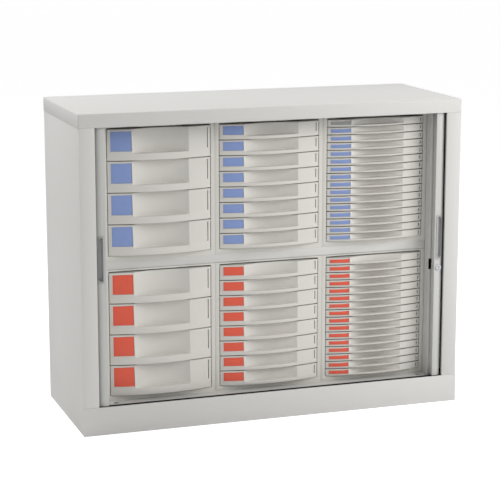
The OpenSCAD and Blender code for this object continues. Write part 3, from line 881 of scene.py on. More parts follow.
@dataclass(frozen=True)
class DrawerKind:
    """What sets one kind of drawer apart, in millimetres.

    Attributes:
        word: The kind's name.
        per_node: Drawers that share a node.
        lip_height: Height of the bowed lip over the slot's floor.
        card_height: Height of the label card.
        card_top: Room over the card.
        lean: How much less the top of the front bows out than its lip.
    """

    word: str
    per_node: int
    lip_height: float
    card_height: float
    card_top: float
    lean: float


TALL = DrawerKind("tall", 1, lip_height=22.0, card_height=58.0, card_top=6.0, lean=8.5)
MEDIUM = DrawerKind("medium", 1, lip_height=11.0, card_height=26.0, card_top=4.5, lean=5.5)
THIN = DrawerKind("thin", 2, lip_height=5.6, card_height=12.0, card_top=3.2, lean=3.0)


def arc_rise(place: float, chord: float, rise: float) -> float:
    """Gives the height of an arc over its chord.

    Args:
        place: Distance from the chord's middle.
        chord: Length of the chord.
        rise: Height of the arc over the chord's middle.

    Returns:
        The height there, or 0 outside the chord.
    """
    if abs(place) >= chord / 2:
        return 0.0
    radius = (chord * chord / 4 + rise * rise) / (2 * rise)
    return math.sqrt(radius * radius - place * place) - (radius - rise)


def quarter_turn(steps: int) -> list[tuple[float, float]]:
    """Lists a rounding of radius 1, as 1 - sin and 1 - cos of the angles of a quarter turn from 0.

    Args:
        steps: Steps over the turn.

    Returns:
        The pairs, from (1, 0) to (0, 1).
    """
    angles = (math.pi / 2 * i / steps for i in range(steps + 1))
    return [(1 - math.sin(t), 1 - math.cos(t)) for t in angles]


def in_window(low: tuple[float, float], high: tuple[float, float]) -> Pick:
    """Makes a pick of the faces whose centre lies in an upright window.

    Args:
        low: Least X and Z of the window, in millimetres.
        high: Greatest X and Z of the window.

    Returns:
        The pick.
    """

    def inside(centre: Vector, normal: Vector) -> bool:
        """Says if a face's centre lies in the window."""
        return low[0] < centre.x / MM < high[0] and low[1] < centre.z / MM < high[1]

    return inside


@dataclass
class DrawerModel:
    """One moulded drawer, with its slot's floor at height 0 and the middle of its front at X 0.

    The front bows out over its whole width, most at its lip, and leans back over that. All sizes are in
    millimetres.

    Attributes:
        kind: Which kind of drawer it is.
        width: Width of the front.
        pitch: Height of a slot.
        length: Length from the front's ends to the back of the tray.
        bow: How far the lip of the front bows out.
        undercut: How much less its foot bows out than the lip's edge.
        front_gap: Gap between one front and the next.
        front_depth: Depth from the front's ends to the inside of the tray.
        return_depth: Depth of the flanges over and under the front.
        rebate: How far the flanges lie behind the front's edge, in height.
        edge_depth: Depth of the front's edge before them.
        skin: Wall of the front.
        wall: Wall of the tray, and its floor.
        floor: Height of the tray's underside.
        tray_head: Room over the tray.
        scoop: Depth of the finger scoop.
        scoop_width: Width of the scoop.
        scoop_x: Distance of the scoop's middle from the front's middle.
        column_step: Width of the columns that the front's mesh is made of.
        column_room: Least width of one.
        end_radius: Rounding of the front's ends.
        rim: Rounding of its foot and its top.
        lip_radius: Greatest rounding of the lip.
        foot_radius: Greatest rounding at the foot of the scoop.
        lip_share: Greatest share of the lip's height that either rounding takes.
        shelf_share: Depth of the scoop that a full rounding needs, in lip radii.
        round_steps: Steps over each rounding.
        card_width: Width of the label card.
        card_x: Distance of the card from the front's left end.
        card_depth: Depth of the card's recess.
        card_play: Play round the card.
        card_seat: Gap behind the card.
        card_thickness: Thickness of the card.
        card_cuts: Cuts across the card, so that it bends.
        card_edge: Width of the slope round its face.
        card_swell: How far its face stands out from its edge.
        frame_width: Greatest width of the frame round the card.
        frame_proud: How far the frame stands out.
        frame_slope: Greatest width of the slope round the frame.
        groove_x: Distance of the upright groove from the front's right end.
        groove_width: Width of the groove.
        groove_depth: Depth of the groove.
        tray_edge: Rounding of the tray's edges.
        sill_edge: Rounding of the edges of the floor under the front.
        body_angle: Angle over which an edge of the drawer stays sharp, in degrees.
        card_angle: The same for the card.
    """

    kind: DrawerKind
    width: float
    pitch: float
    length: float
    bow: float = 24.0
    undercut: float = 1.2
    front_gap: float = 2.8
    front_depth: float = 10.0
    return_depth: float = 9.2
    rebate: float = 3.4
    edge_depth: float = 1.5
    skin: float = 2.0
    wall: float = 2.0
    floor: float = 1.8
    tray_head: float = 1.0
    scoop: float = 17.5
    scoop_width: float = 172.0
    scoop_x: float = 1.0
    column_step: float = 7.0
    column_room: float = 7.0 / 3
    end_radius: float = 1.4
    rim: float = 0.8
    lip_radius: float = 1.6
    foot_radius: float = 1.4
    lip_share: float = 0.2
    shelf_share: float = 3.0
    round_steps: int = 4
    card_width: float = 60.0
    card_x: float = 10.0
    card_depth: float = 2.0
    card_play: float = 0.3
    card_seat: float = 0.1
    card_thickness: float = 1.2
    card_cuts: int = 7
    card_edge: float = 0.5
    card_swell: float = 0.15
    frame_width: float = 4.2
    frame_proud: float = 0.6
    frame_slope: float = 1.0
    groove_x: float = 7.0
    groove_width: float = 3.2
    groove_depth: float = 6.0
    tray_edge: float = 0.5
    sill_edge: float = 0.4
    body_angle: float = 26.0
    card_angle: float = 20.0

    def __post_init__(self) -> None:
        """Works out the heights and widths that follow from the sizes."""
        self.low = self.front_gap / 2
        self.high = self.pitch - self.front_gap / 2
        self.half = self.width / 2
        self.card_high_z = self.high - self.kind.card_top
        self.card_low_z = self.card_high_z - self.kind.card_height
        self.card_left = self.card_x - self.half
        self.card_right = self.card_left + self.card_width
        room_over = self.kind.card_top - self.rim
        room_under = self.card_low_z - self.kind.lip_height
        self.border = min(self.frame_width, room_over - self.card_play, room_under - 2 * self.card_play)

    def face_y(self, x: float, z: float) -> float:
        """Gives the depth of the bowed face, without its scoop, at a place on the front.

        Args:
            x: The place along the front.
            z: Its height.

        Returns:
            How far back the face lies there, less than 0 where it bows out.
        """
        lip = self.kind.lip_height
        if z > lip:
            bow = self.bow - self.kind.lean * (z - lip) / (self.high - lip)
        else:
            bow = self.bow - self.undercut * (lip - z) / (lip - self.low)
        return -arc_rise(x, self.width, bow)

    def scoop_y(self, x: float, z: float) -> float:
        """Gives the depth of the face with its scoop, at a place over the lip.

        Args:
            x: The place along the front.
            z: Its height.

        Returns:
            How far back the face lies there.
        """
        reach = self.scoop_width / 2
        place = x - self.scoop_x
        if abs(place) >= reach:
            return self.face_y(x, z)
        left, right = self.face_y(self.scoop_x - reach, z), self.face_y(self.scoop_x + reach, z)
        chord = left + (right - left) * (place + reach) / self.scoop_width
        return chord + arc_rise(place, self.scoop_width, self.scoop)

    def columns(self) -> list[tuple[float, float]]:
        """Lists the columns of the front's skin.

        Returns:
            For each column, its place along the front and how far its points are set back.
        """
        fixed = {
            self.card_left - self.border,
            self.card_left - self.card_play,
            self.card_right + self.card_play,
            self.card_right + self.border,
            self.half - self.groove_x - self.groove_width,
            self.half - self.groove_x,
            self.half - 2 * self.end_radius,
            2 * self.end_radius - self.half,
            self.scoop_x - self.scoop_width / 2,
            self.scoop_x + self.scoop_width / 2,
        }
        evenly = int(self.width / self.column_step)
        for i in range(1, evenly):
            x = self.width * (i / evenly - 0.5)
            if min(abs(x - other) for other in fixed) > self.column_room:
                fixed.add(x)
        middle = [(x, 0.0) for x in sorted(fixed)]
        radius = self.end_radius
        left = [(-self.half, self.front_depth)]
        left += [(-self.half + radius * c, radius * s) for s, c in quarter_turn(self.round_steps)]
        right = [(-x, back) for x, back in reversed(left)]
        return left + middle + right

    def stations(self, x: float) -> list[tuple[float, float]]:
        """Lists the points up one column of the skin, from its foot to its top.

        Args:
            x: The column's place along the front.

        Returns:
            For each point, how far back it lies and its height.
        """
        lip = self.kind.lip_height
        shelf = self.scoop_y(x, lip) - self.face_y(x, lip)
        share = min(1.0, shelf / (self.shelf_share * self.lip_radius))
        edge = min(self.lip_radius, lip * self.lip_share) * share
        foot = min(self.foot_radius, lip * self.lip_share) * share
        rim, turn = self.rim, quarter_turn(self.round_steps)
        foot_y, lip_y = self.face_y(x, self.low), self.face_y(x, lip)
        back_y, top_y = self.scoop_y(x, lip), self.scoop_y(x, self.high)
        foot_edge, top_edge = foot_y + self.edge_depth, top_y + self.edge_depth
        points = [(self.return_depth, self.low + self.rebate), (foot_edge, self.low + self.rebate)]
        points.append((foot_edge, self.low))
        points += [(foot_y + rim * s, self.low + rim * c) for s, c in turn]
        points += [(lip_y + edge * c, lip - edge * s) for s, c in turn]
        points += [(back_y - foot * s, lip + foot * c) for s, c in turn]
        for z in (
            self.card_low_z - self.border,
            self.card_low_z - self.card_play,
            self.card_high_z + self.card_play,
            self.card_high_z + self.border,
        ):
            points.append((self.scoop_y(x, z), z))
        points += [(top_y + rim * c, self.high - rim * s) for s, c in turn]
        points.append((top_edge, self.high))
        points += [(top_edge, self.high - self.rebate), (self.return_depth, self.high - self.rebate)]
        return points

    def front_skin(self) -> bpy.types.Object:
        """Models the front: a sheet with its lip, scoop, card frame and groove, given a wall.

        Returns:
            The front as a closed shell.
        """
        columns = self.columns()
        rows = len(self.stations(0.0))
        deselect_all()
        bpy.ops.mesh.primitive_grid_add(x_subdivisions=len(columns) - 1, y_subdivisions=rows - 1, size=1)
        piece = bpy.context.object
        for vertex in piece.data.vertices:
            column = round((vertex.co.x + 0.5) * (len(columns) - 1))
            row = round((vertex.co.y + 0.5) * (rows - 1))
            x, back = columns[column]
            y, z = self.stations(x)[row]
            vertex.co = Vector((x, min(y + back, self.front_depth), z)) * MM
        make_active(piece)
        bpy.ops.object.mode_set(mode="EDIT")
        bpy.ops.mesh.select_all(action="SELECT")
        bpy.ops.mesh.remove_doubles(threshold=2 * WELD)
        leave_edit()
        self._raise_card_frame(piece)
        self._sink_groove(piece)
        add_wall(piece, self.skin * MM)
        return piece

    @staticmethod
    def _push_window(
        piece: bpy.types.Object, low: tuple[float, float], high: tuple[float, float], depth: float
    ) -> None:
        """Pushes the faces of the front that lie in a window straight back, with walls round them.

        Args:
            piece: The front's skin.
            low: Least X and Z of the window, in millimetres.
            high: Greatest X and Z of the window.
            depth: How far the faces go back.
        """
        pick_faces(piece, in_window(low, high))
        bpy.ops.mesh.extrude_region_move(TRANSFORM_OT_translate={"value": (0, depth * MM, 0)})
        leave_edit()

    def _raise_card_frame(self, piece: bpy.types.Object) -> None:
        """Raises the frame round the card and sinks the card's recess.

        Args:
            piece: The front's skin.
        """
        reach, play = self.border, self.card_play
        outer_low = (self.card_left - reach, self.card_low_z - reach)
        outer_high = (self.card_right + reach, self.card_high_z + reach)
        inner_low = (self.card_left - play, self.card_low_z - play)
        inner_high = (self.card_right + play, self.card_high_z + play)
        pick_faces(piece, in_window(outer_low, outer_high))
        slope = min(self.frame_slope, reach / 3)
        bpy.ops.mesh.inset(thickness=slope * MM, depth=self.frame_proud * MM, use_boundary=True)
        leave_edit()
        self._push_window(piece, inner_low, inner_high, self.card_depth + self.frame_proud)

    def _sink_groove(self, piece: bpy.types.Object) -> None:
        """Sinks the upright groove beside the far end of the front.

        Args:
            piece: The front's skin.
        """
        low = (self.half - self.groove_x - self.groove_width, self.card_low_z - self.card_play)
        high = (self.half - self.groove_x, self.card_high_z + self.card_play)
        self._push_window(piece, low, high, self.groove_depth)

    def tray(self) -> bpy.types.Object:
        """Models the tray behind the front, with its floor under the front.

        Returns:
            The tray as a closed solid.
        """
        top = self.pitch - self.tray_head
        low = Vector((-self.half, self.front_depth - self.wall, self.floor)) * MM
        high = Vector((self.half, self.length, top)) * MM
        tray = block("tray", low, high)
        pick_faces(tray, lambda centre, normal: normal.z > FACING)
        bpy.ops.mesh.inset(thickness=self.wall * MM, depth=0.0)
        sink = self.floor + self.wall - top
        bpy.ops.mesh.extrude_region_move(TRANSFORM_OT_translate={"value": (0, 0, sink * MM)})
        leave_edit()
        soften(tray, self.tray_edge * MM)
        inside = self.half - self.skin / 2
        sill_low = Vector((-inside, self.skin / 2, self.floor)) * MM
        sill_high = Vector((inside, self.front_depth, self.floor + self.wall)) * MM
        sill = block("sill", sill_low, sill_high)
        soften(sill, self.sill_edge * MM)
        return join("tray", [tray, sill])

    def card(self) -> bpy.types.Object:
        """Models the label card, bent to the bowed front, in its recess.

        Returns:
            The card, with rounded edges.
        """
        back = self.card_depth - self.card_seat
        low = Vector((self.card_left, back - self.card_thickness, self.card_low_z)) * MM
        high = Vector((self.card_right, back, self.card_high_z)) * MM
        card = block("card", low, high)
        pick_edges(card, lambda a, b: abs(a.x - b.x) > MM)
        bpy.ops.mesh.subdivide(number_cuts=self.card_cuts)
        leave_edit()
        pick_faces(card, lambda centre, normal: normal.y < -FACING)
        bpy.ops.mesh.inset(thickness=self.card_edge * MM, depth=self.card_swell * MM)
        leave_edit()
        for vertex in card.data.vertices:
            vertex.co.y += self.face_y(vertex.co.x / MM, vertex.co.z / MM) * MM
        smooth(card, self.card_angle)
        return card

    def build(self) -> tuple[bpy.types.Object, bpy.types.Object]:
        """Models the drawer once.

        Returns:
            The moulded drawer and its card.
        """
        body = join(f"{self.kind.word}_drawer", [self.front_skin(), self.tray()])
        smooth(body, self.body_angle)
        return body, self.card()


@dataclass
class DrawerUnits:
    """Every drawer, each a copy of its kind's model in the place of its node.

    Attributes:
        finishes: The cabinet's finishes.
        fronts_back: Distance of the fronts' ends behind the cabinet's front face, in millimetres.
        node_gap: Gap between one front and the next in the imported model.
        side_gap: How much narrower the moulded fronts are than there, at each end.
    """

    finishes: Finishes
    fronts_back: float = 65.0
    node_gap: float = 1.2
    side_gap: float = 0.75

    def names(self, kind: DrawerKind, row: str) -> list[str]:
        """Lists the nodes of one kind of drawer in a row of housings, from the top.

        Args:
            kind: The kind of drawer.
            row: "upper" or "lower".

        Returns:
            The nodes' names.
        """
        words = f"{row}_{kind.word}_drawer"
        return sorted((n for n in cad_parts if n.startswith(words)), key=lambda n: -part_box(n)[1].z)

    def model(self, kind: DrawerKind) -> DrawerModel:
        """Takes a kind's sizes from the box of one of its nodes.

        Args:
            kind: The kind of drawer.

        Returns:
            The drawer's model.
        """
        node = self.names(kind, "upper")[0]
        low, high = (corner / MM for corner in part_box(node))
        fronts_y = CAD_BOX[0].y / MM + self.fronts_back
        pitch = (high.z - low.z + self.node_gap) / kind.per_node
        return DrawerModel(kind, high.x - low.x - 2 * self.side_gap, pitch, high.y - fronts_y)

    def card_finish(self, kind: DrawerKind, row: str, place: int) -> bpy.types.Material:
        """Picks a card's finish.

        Args:
            kind: The kind of drawer.
            row: "upper" or "lower".
            place: The drawer's place from the top of its housing, from 0.

        Returns:
            The card's material.
        """
        if row == "lower":
            return self.finishes.red_card
        if kind is THIN and place == 0:
            return self.finishes.blank_card
        return self.finishes.blue_card

    def fill_node(
        self, model: DrawerModel, shapes: tuple[bpy.types.Object, bpy.types.Object], row: str, index: int
    ) -> list[bpy.types.Object]:
        """Copies a kind's drawer and card into the place of one of its nodes.

        Args:
            model: The kind's sizes.
            shapes: Its moulded drawer and its card.
            row: "upper" or "lower".
            index: The node's place from the top of its housing, from 0.

        Returns:
            The finished pieces.
        """
        made, bodies = [], []
        kind = model.kind
        node = self.names(kind, row)[index]
        low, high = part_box(node)
        fronts_y = CAD_BOX[0].y + self.fronts_back * MM
        floor_z = low.z - self.node_gap / 2 * MM
        for share in range(kind.per_node):
            lift = floor_z + (kind.per_node - 1 - share) * model.pitch * MM
            move = Matrix.Translation(((low.x + high.x) / 2, fronts_y, lift))
            bodies.append(copied(shapes[0], "drawer_copy", move))
            place = index * kind.per_node + share
            label = copied(shapes[1], f"{row}_{kind.word}_label_card_{place + 1}", move)
            made.append(dress(label, self.card_finish(kind, row, place), node))
        moulded = join("moulded", bodies) if len(bodies) > 1 else bodies[0]
        moulded.name = f"{node}_moulded"
        made.append(dress(moulded, self.finishes.drawer, node, [node]))
        return made

    def build(self) -> list[bpy.types.Object]:
        """Makes every drawer.

        Returns:
            The finished pieces.
        """
        made = []
        for kind in (TALL, MEDIUM, THIN):
            model = self.model(kind)
            shapes = model.build()
            for row in ("upper", "lower"):
                for index in range(len(self.names(kind, row))):
                    made += self.fill_node(model, shapes, row, index)
            for shape in shapes:
                bpy.data.objects.remove(shape)
        return made


# Shutters


@dataclass
class ShutterParts:
    """The lead bars with their handles and lock, and the slatted curtains behind them.

    Every piece is modelled for the right-hand side, in millimetres, and mirrored for the left. A
    piece's inner side is the one towards the middle of the cabinet.

    Attributes:
        finishes: The cabinet's finishes.
        near: How near a point lies to the place that it is picked by.
        overrun: How far a cut runs past what it cuts.
        round_sides: Flat sides of a round hole or rod.
        shaded_angle: Angle over which an edge of a bar or slat stays sharp, in degrees.
        bar_x: Place of the lead bar's inner side.
        bar_y: Place of its front.
        bar_w: Its width.
        bar_t: Its thickness.
        bar_low: Height of its foot.
        bar_high: Height of its head.
        bar_flat: Width of the flat part of its face.
        bar_r: Radius of the rounded part.
        bar_steps: Steps over that part.
        bar_wall: Thickness of its wall.
        bar_edge: Rounding of its edges.
        bar_corner: Rounding of its inner front corner.
        corner_steps: Steps over that corner and over a slat's edges.
        handle_x: Place of the handle's inner side.
        handle_w: Width of the handle.
        handle_z: Height of its middle.
        handle_h: Its own height.
        handle_r_in: Radius of its inner corners.
        handle_r_out: Radius of its outer corners.
        handle_r_least: Least radius of either.
        steps_in: Steps over an inner corner.
        steps_out: Steps over an outer corner.
        handle_wall: Thickness of its wall.
        handle_grip: Extra thickness of the wall that the fingers pull.
        handle_depth: Depth of its cup behind the bar's front.
        handle_rim: How far its rim stands out of the bar's face.
        handle_play: Gap round the handle.
        handle_edge: Rounding of its edges.
        handle_edge_steps: Steps over them.
        handle_angle: Angle over which one of its edges stays sharp, in degrees.
        cup_taper: Share of the cup's width that its floor keeps.
        lock_x: Place of the lock's axis.
        lock_z: Height of that axis.
        lock_r: Radius of the barrel.
        lock_front: How far the barrel stands out of the bar's front.
        lock_back: How far it reaches behind that.
        lock_play: Play round the barrel and the bolt in the lock case.
        lock_edge: Rounding of the barrel's edges.
        ring: Width and depth of each step of the barrel's face, from its rim inwards.
        ring_reach: Share of the barrel's radius round the middle in which a step's face is looked for.
        key_half_w: Half the width of the key slot.
        key_half_h: Half its height.
        key_back: How far it reaches behind the bar's front.
        bolt_h: Height of the bolt.
        bolt_t: Thickness of the bolt.
        bolt_y: Place of its front.
        bolt_play: Play round it in the bar with the lock.
        strike_play: Play round it in the other bar.
        case_x: Where the lock case begins and ends, across the bar.
        case_y: The same from front to back.
        case_z: The same in height.
        case_play: Play round the case.
        case_corner: Rounding of its outer front corner, which clears the bar's rounded wall.
        case_steps: Steps over that corner.
        case_edge: Rounding of its edges.
        shoe_inset: How far a running shoe lies inside the bar's outline.
        plug_z: Where the lower shoe's plug begins and ends, in height.
        tongue_y: Where its tongue begins and ends, from front to back.
        tongue_z: The same in height.
        line_y: Middle of the curtain along the front.
        arc_x: Where the track's corner begins.
        arc_r: Radius of that corner.
        side_line_x: Middle of the curtain along the side.
        side_end_y: Where the stowed curtain ends.
        slat_pitch: Distance from one slat to the next.
        slat_w: Width of a slat.
        slat_t: Thickness of a slat.
        slat_edge: Rounding of its edges.
        web_t: Thickness of the web that joins the slats.
        slat_z: Where the slats begin and end, in height.
        front_slats: Slats that a closed shutter draws over the opening.
        travel: How far a shutter slides.
        fade_start: Where the front run of a curtain begins to follow its shutter.
        halvings: Steps of the search for a slat's place at rest.
    """

    finishes: Finishes
    near: float = 0.05
    overrun: float = 1.0
    round_sides: int = 48
    shaded_angle: float = 30.0
    bar_x: float = 520.5
    bar_y: float = -224.0
    bar_w: float = 33.0
    bar_t: float = 20.0
    bar_low: float = 86.0
    bar_high: float = 913.0
    bar_flat: float = 10.5
    bar_r: float = 24.0
    bar_steps: int = 10
    bar_wall: float = 2.0
    bar_edge: float = 0.5
    bar_corner: float = 1.0
    corner_steps: int = 3
    handle_x: float = 526.0
    handle_w: float = 23.0
    handle_z: float = 527.0
    handle_h: float = 140.0
    handle_r_in: float = 5.0
    handle_r_out: float = 13.0
    handle_r_least: float = 1.0
    steps_in: int = 5
    steps_out: int = 10
    handle_wall: float = 2.5
    handle_grip: float = 2.5
    handle_depth: float = 14.0
    handle_rim: float = 1.5
    handle_play: float = 0.2
    handle_edge: float = 0.6
    handle_edge_steps: int = 3
    handle_angle: float = 35.0
    cup_taper: float = 0.8
    lock_x: float = 534.8
    lock_z: float = 432.0
    lock_r: float = 9.0
    lock_front: float = 2.5
    lock_back: float = 10.5
    lock_play: float = 0.1
    lock_edge: float = 0.2
    ring: tuple[tuple[float, float], ...] = ((0.5, 0.0), (1.4, 0.0), (0.5, -0.9), (1.9, 0.0), (0.4, 0.5))
    ring_reach: float = 0.6
    key_half_w: float = 0.8
    key_half_h: float = 3.6
    key_back: float = 1.5
    bolt_h: float = 12.0
    bolt_t: float = 3.0
    bolt_y: float = -213.1
    bolt_play: float = 0.4
    strike_play: float = 1.0
    case_x: tuple[float, float] = (522.8, 551.2)
    case_y: tuple[float, float] = (-214.4, -195.0)
    case_z: tuple[float, float] = (424.5, 454.5)
    case_play: float = 0.3
    case_corner: float = 3.0
    case_steps: int = 2
    case_edge: float = 0.4
    shoe_inset: float = 3.5
    plug_z: tuple[float, float] = (85.3, 106.0)
    tongue_y: tuple[float, float] = (-220.5, -213.5)
    tongue_z: tuple[float, float] = (76.3, 85.9)
    line_y: float = -217.0
    arc_x: float = 554.0
    arc_r: float = 34.0
    side_line_x: float = 588.0
    side_end_y: float = 168.0
    slat_pitch: float = 20.0
    slat_w: float = 18.0
    slat_t: float = 6.0
    slat_edge: float = 1.8
    web_t: float = 1.2
    slat_z: tuple[float, float] = (76.5, 922.5)
    front_slats: int = 29
    travel: float = 520.0
    fade_start: float = 586.0
    halvings: int = 60

    @staticmethod
    def _mm_block(name: str, low: Iterable[float], high: Iterable[float]) -> bpy.types.Object:
        """Adds a block whose corners are given in millimetres."""
        return block(name, Vector(low) * MM, Vector(high) * MM)

    def plug(self, name: str, margin: float, low_z: float, high_z: float) -> bpy.types.Object:
        """Makes a solid with the outline of a lead bar.

        Args:
            name: Name of the piece.
            margin: How far the outline is set out from the bar's own.
            low_z: Height of its foot, in millimetres.
            high_z: Height of its head, in millimetres.

        Returns:
            The closed solid.
        """
        piece = self.outline(name, margin, low_z, high_z)
        pick_edges(piece, lambda a, b: abs(a.z - b.z) < MM)
        bpy.ops.mesh.fill()
        leave_edit()
        merge_points(piece)
        return piece

    def outline(self, name: str, margin: float, low_z: float, high_z: float) -> bpy.types.Object:
        """Sweeps the outline of a lead bar, without its ends.

        The flat part of the face is a plane, its edge is spun round the rounded part, and the sides and
        the back are drawn out from there.

        Args:
            name: Name of the piece.
            margin: How far the outline is set out from the bar's own.
            low_z: Height of its foot, in millimetres.
            high_z: Height of its head, in millimetres.

        Returns:
            The outline as an open tube.
        """
        low_x, flat_x = self.bar_x - margin, self.bar_x + self.bar_flat
        high_x, back_y = self.bar_x + self.bar_w + margin, self.bar_y + self.bar_t + margin
        front_y, radius = self.bar_y - margin, self.bar_r + margin
        deselect_all()
        bpy.ops.mesh.primitive_plane_add(size=1, rotation=(math.pi / 2, 0, 0))
        piece = bpy.context.object
        piece.name = name
        piece.scale = ((flat_x - low_x) * MM, (high_z - low_z) * MM, 1)
        piece.location = Vector(((low_x + flat_x) / 2, front_y, (low_z + high_z) / 2)) * MM
        settle(piece)
        turn = math.asin((high_x - flat_x) / radius)
        pick_edges(piece, lambda a, b: min(a.x, b.x) > (flat_x - self.near) * MM)
        centre = (flat_x * MM, (front_y + radius) * MM, 0)
        bpy.ops.mesh.spin(steps=self.bar_steps, angle=turn, center=centre, axis=(0, 0, -1))
        leave_edit()
        side_y = front_y + radius - radius * math.cos(turn)
        pick_edges(piece, lambda a, b: min(a.x, b.x) > (high_x - self.near) * MM)
        for x, y in ((0, back_y - side_y), (low_x - high_x, 0), (0, front_y - back_y)):
            bpy.ops.mesh.extrude_region_move(TRANSFORM_OT_translate={"value": (x * MM, y * MM, 0)})
        leave_edit()
        merge_points(piece, WELD)
        return piece

    def handle_block(
        self, name: str, margin: float, grip: float, low_y: float, high_y: float
    ) -> bpy.types.Object:
        """Adds a block with the handle's outline.

        Args:
            name: Name of the piece.
            margin: How far the outline is set in.
            grip: Extra margin on the side that the fingers pull.
            low_y: Front of the block, in millimetres.
            high_y: Back of the block, in millimetres.

        Returns:
            The block with its four corners rounded.
        """
        low_x, high_x = self.handle_x + margin + grip, self.handle_x + self.handle_w - margin
        half = self.handle_h / 2 - margin
        low, high = (low_x, low_y, self.handle_z - half), (high_x, high_y, self.handle_z + half)
        piece = self._mm_block(name, low, high)
        middle = (low_x + high_x) / 2 * MM

        def along_y(a: Vector, b: Vector) -> bool:
            """Picks the edges that run from front to back."""
            return abs(a.y - b.y) > (high_y - low_y) * MM / 2

        inner = max(self.handle_r_in - margin, self.handle_r_least)
        outer = max(self.handle_r_out - margin, self.handle_r_least)
        round_edges(piece, inner * MM, self.steps_in, lambda a, b: along_y(a, b) and a.x < middle)
        round_edges(piece, outer * MM, self.steps_out, lambda a, b: along_y(a, b) and a.x > middle)
        return piece

    def bar(self, name: str, locked: bool) -> bpy.types.Object:
        """Makes a lead bar, a rounded tube with the hole for its handle.

        Args:
            name: Name of the piece.
            locked: Whether it is the bar with the lock.

        Returns:
            The bar, on the right-hand side.
        """
        piece = self.outline(name, 0.0, self.bar_low, self.bar_high)
        add_wall(piece, self.bar_wall * MM, even=True)
        round_edges(piece, self.bar_corner * MM, self.corner_steps, self._front_corner)
        before, beyond = self.bar_y - 2 * self.bar_wall, self.bar_y + self.bar_t - 2 * self.bar_wall
        cut(piece, self.handle_block("handle_hole", -self.handle_play, 0.0, before, beyond))
        play = self.bolt_play if locked else self.strike_play
        reach = self.bolt_h / 2 + play
        low = (self.bar_x - self.overrun, self.bolt_y - play, self.lock_z - reach)
        through_x = self.bar_x + self.bar_wall + self.overrun
        high = (through_x, self.bolt_y + self.bolt_t + play, self.lock_z + reach)
        cut(piece, self._mm_block("bolt_slot", low, high))
        if locked:
            cut(piece, self._lock_bore("lock_hole", -self.overrun, self.bar_wall + self.overrun))
            play = self.case_play
            back_y = self.bar_y + self.bar_t - self.bar_wall - self.overrun
            low = (self.case_x[0] - play, back_y, self.case_z[0] - play)
            high = (self.case_x[1] + play, self.case_y[1], self.case_z[1] + play)
            cut(piece, self._mm_block("case_hole", low, high))
        soften(piece, self.bar_edge * MM)
        smooth(piece, self.shaded_angle)
        return piece

    def _front_corner(self, a: Vector, b: Vector) -> bool:
        """Picks the bar's inner front corner."""
        return all(self._at(p, self.bar_x, self.bar_y) for p in (a, b))

    def _at(self, point: Vector, x: float, y: float) -> bool:
        """Says if a point lies over a place that is given in millimetres."""
        near = self.near * MM
        return abs(point.x - x * MM) < near and abs(point.y - y * MM) < near

    def _lock_bore(self, name: str, front: float, back: float) -> bpy.types.Object:
        """Adds a rod for the barrel's bore, from front to back as distances behind the bar's front."""
        ends = [Vector((self.lock_x, self.bar_y + reach, self.lock_z)) * MM for reach in (front, back)]
        return rod(name, *ends, (self.lock_r + self.lock_play) * MM, self.round_sides)

    def shoes(self, name: str) -> bpy.types.Object:
        """Makes the running shoes at the two ends of a bar.

        Args:
            name: Name of the piece.

        Returns:
            The shoes as one piece, on the right-hand side.
        """
        low_x, high_x = self.bar_x + self.shoe_inset, self.bar_x + self.bar_w - self.shoe_inset
        low, high = (low_x, self.tongue_y[0], self.tongue_z[0]), (high_x, self.tongue_y[1], self.tongue_z[1])
        plug = self.plug("shoe_plug", -self.shoe_inset, *self.plug_z)
        lower = join("lower_shoe", [plug, self._mm_block("shoe_tongue", low, high)])
        soften(lower, self.bar_edge * MM)
        lift = Matrix.Translation((0, 0, (self.bar_low + self.bar_high) * MM))
        over = lift @ Matrix.Scale(-1, 4, (0, 0, 1))
        piece = join(name, [lower, copied(lower, "upper_shoe", over)])
        smooth(piece)
        return piece

    def handle(self, name: str) -> bpy.types.Object:
        """Makes a cup handle whose rim follows the bar's rounded face.

        Args:
            name: Name of the piece.

        Returns:
            The handle, on the right-hand side.
        """
        front_y = self.bar_y - self.bar_t / 2
        floor_y = self.bar_y + self.handle_depth
        piece = self.handle_block(name, 0.0, 0.0, front_y, floor_y + self.handle_wall)
        reach = self.handle_h
        shape = self.plug("rim_shape", self.handle_rim, self.handle_z - reach, self.handle_z + reach)
        cut(piece, shape, "INTERSECT")
        before = self.bar_y - self.bar_wall * 2
        cup = self.handle_block("cup", self.handle_wall, self.handle_grip, before, floor_y)
        pick_faces(cup, lambda centre, normal: normal.y > FACING)
        middle = Vector((self.handle_x + self.handle_w / 2, floor_y, self.handle_z)) * MM
        shrink = (self.cup_taper, 1, 1 - (1 - self.cup_taper) / 2)
        bpy.ops.transform.resize(value=shrink, center_override=middle)
        leave_edit()
        cut(piece, cup)
        soften(piece, self.handle_edge * MM, self.handle_edge_steps)
        smooth(piece, self.handle_angle)
        return piece

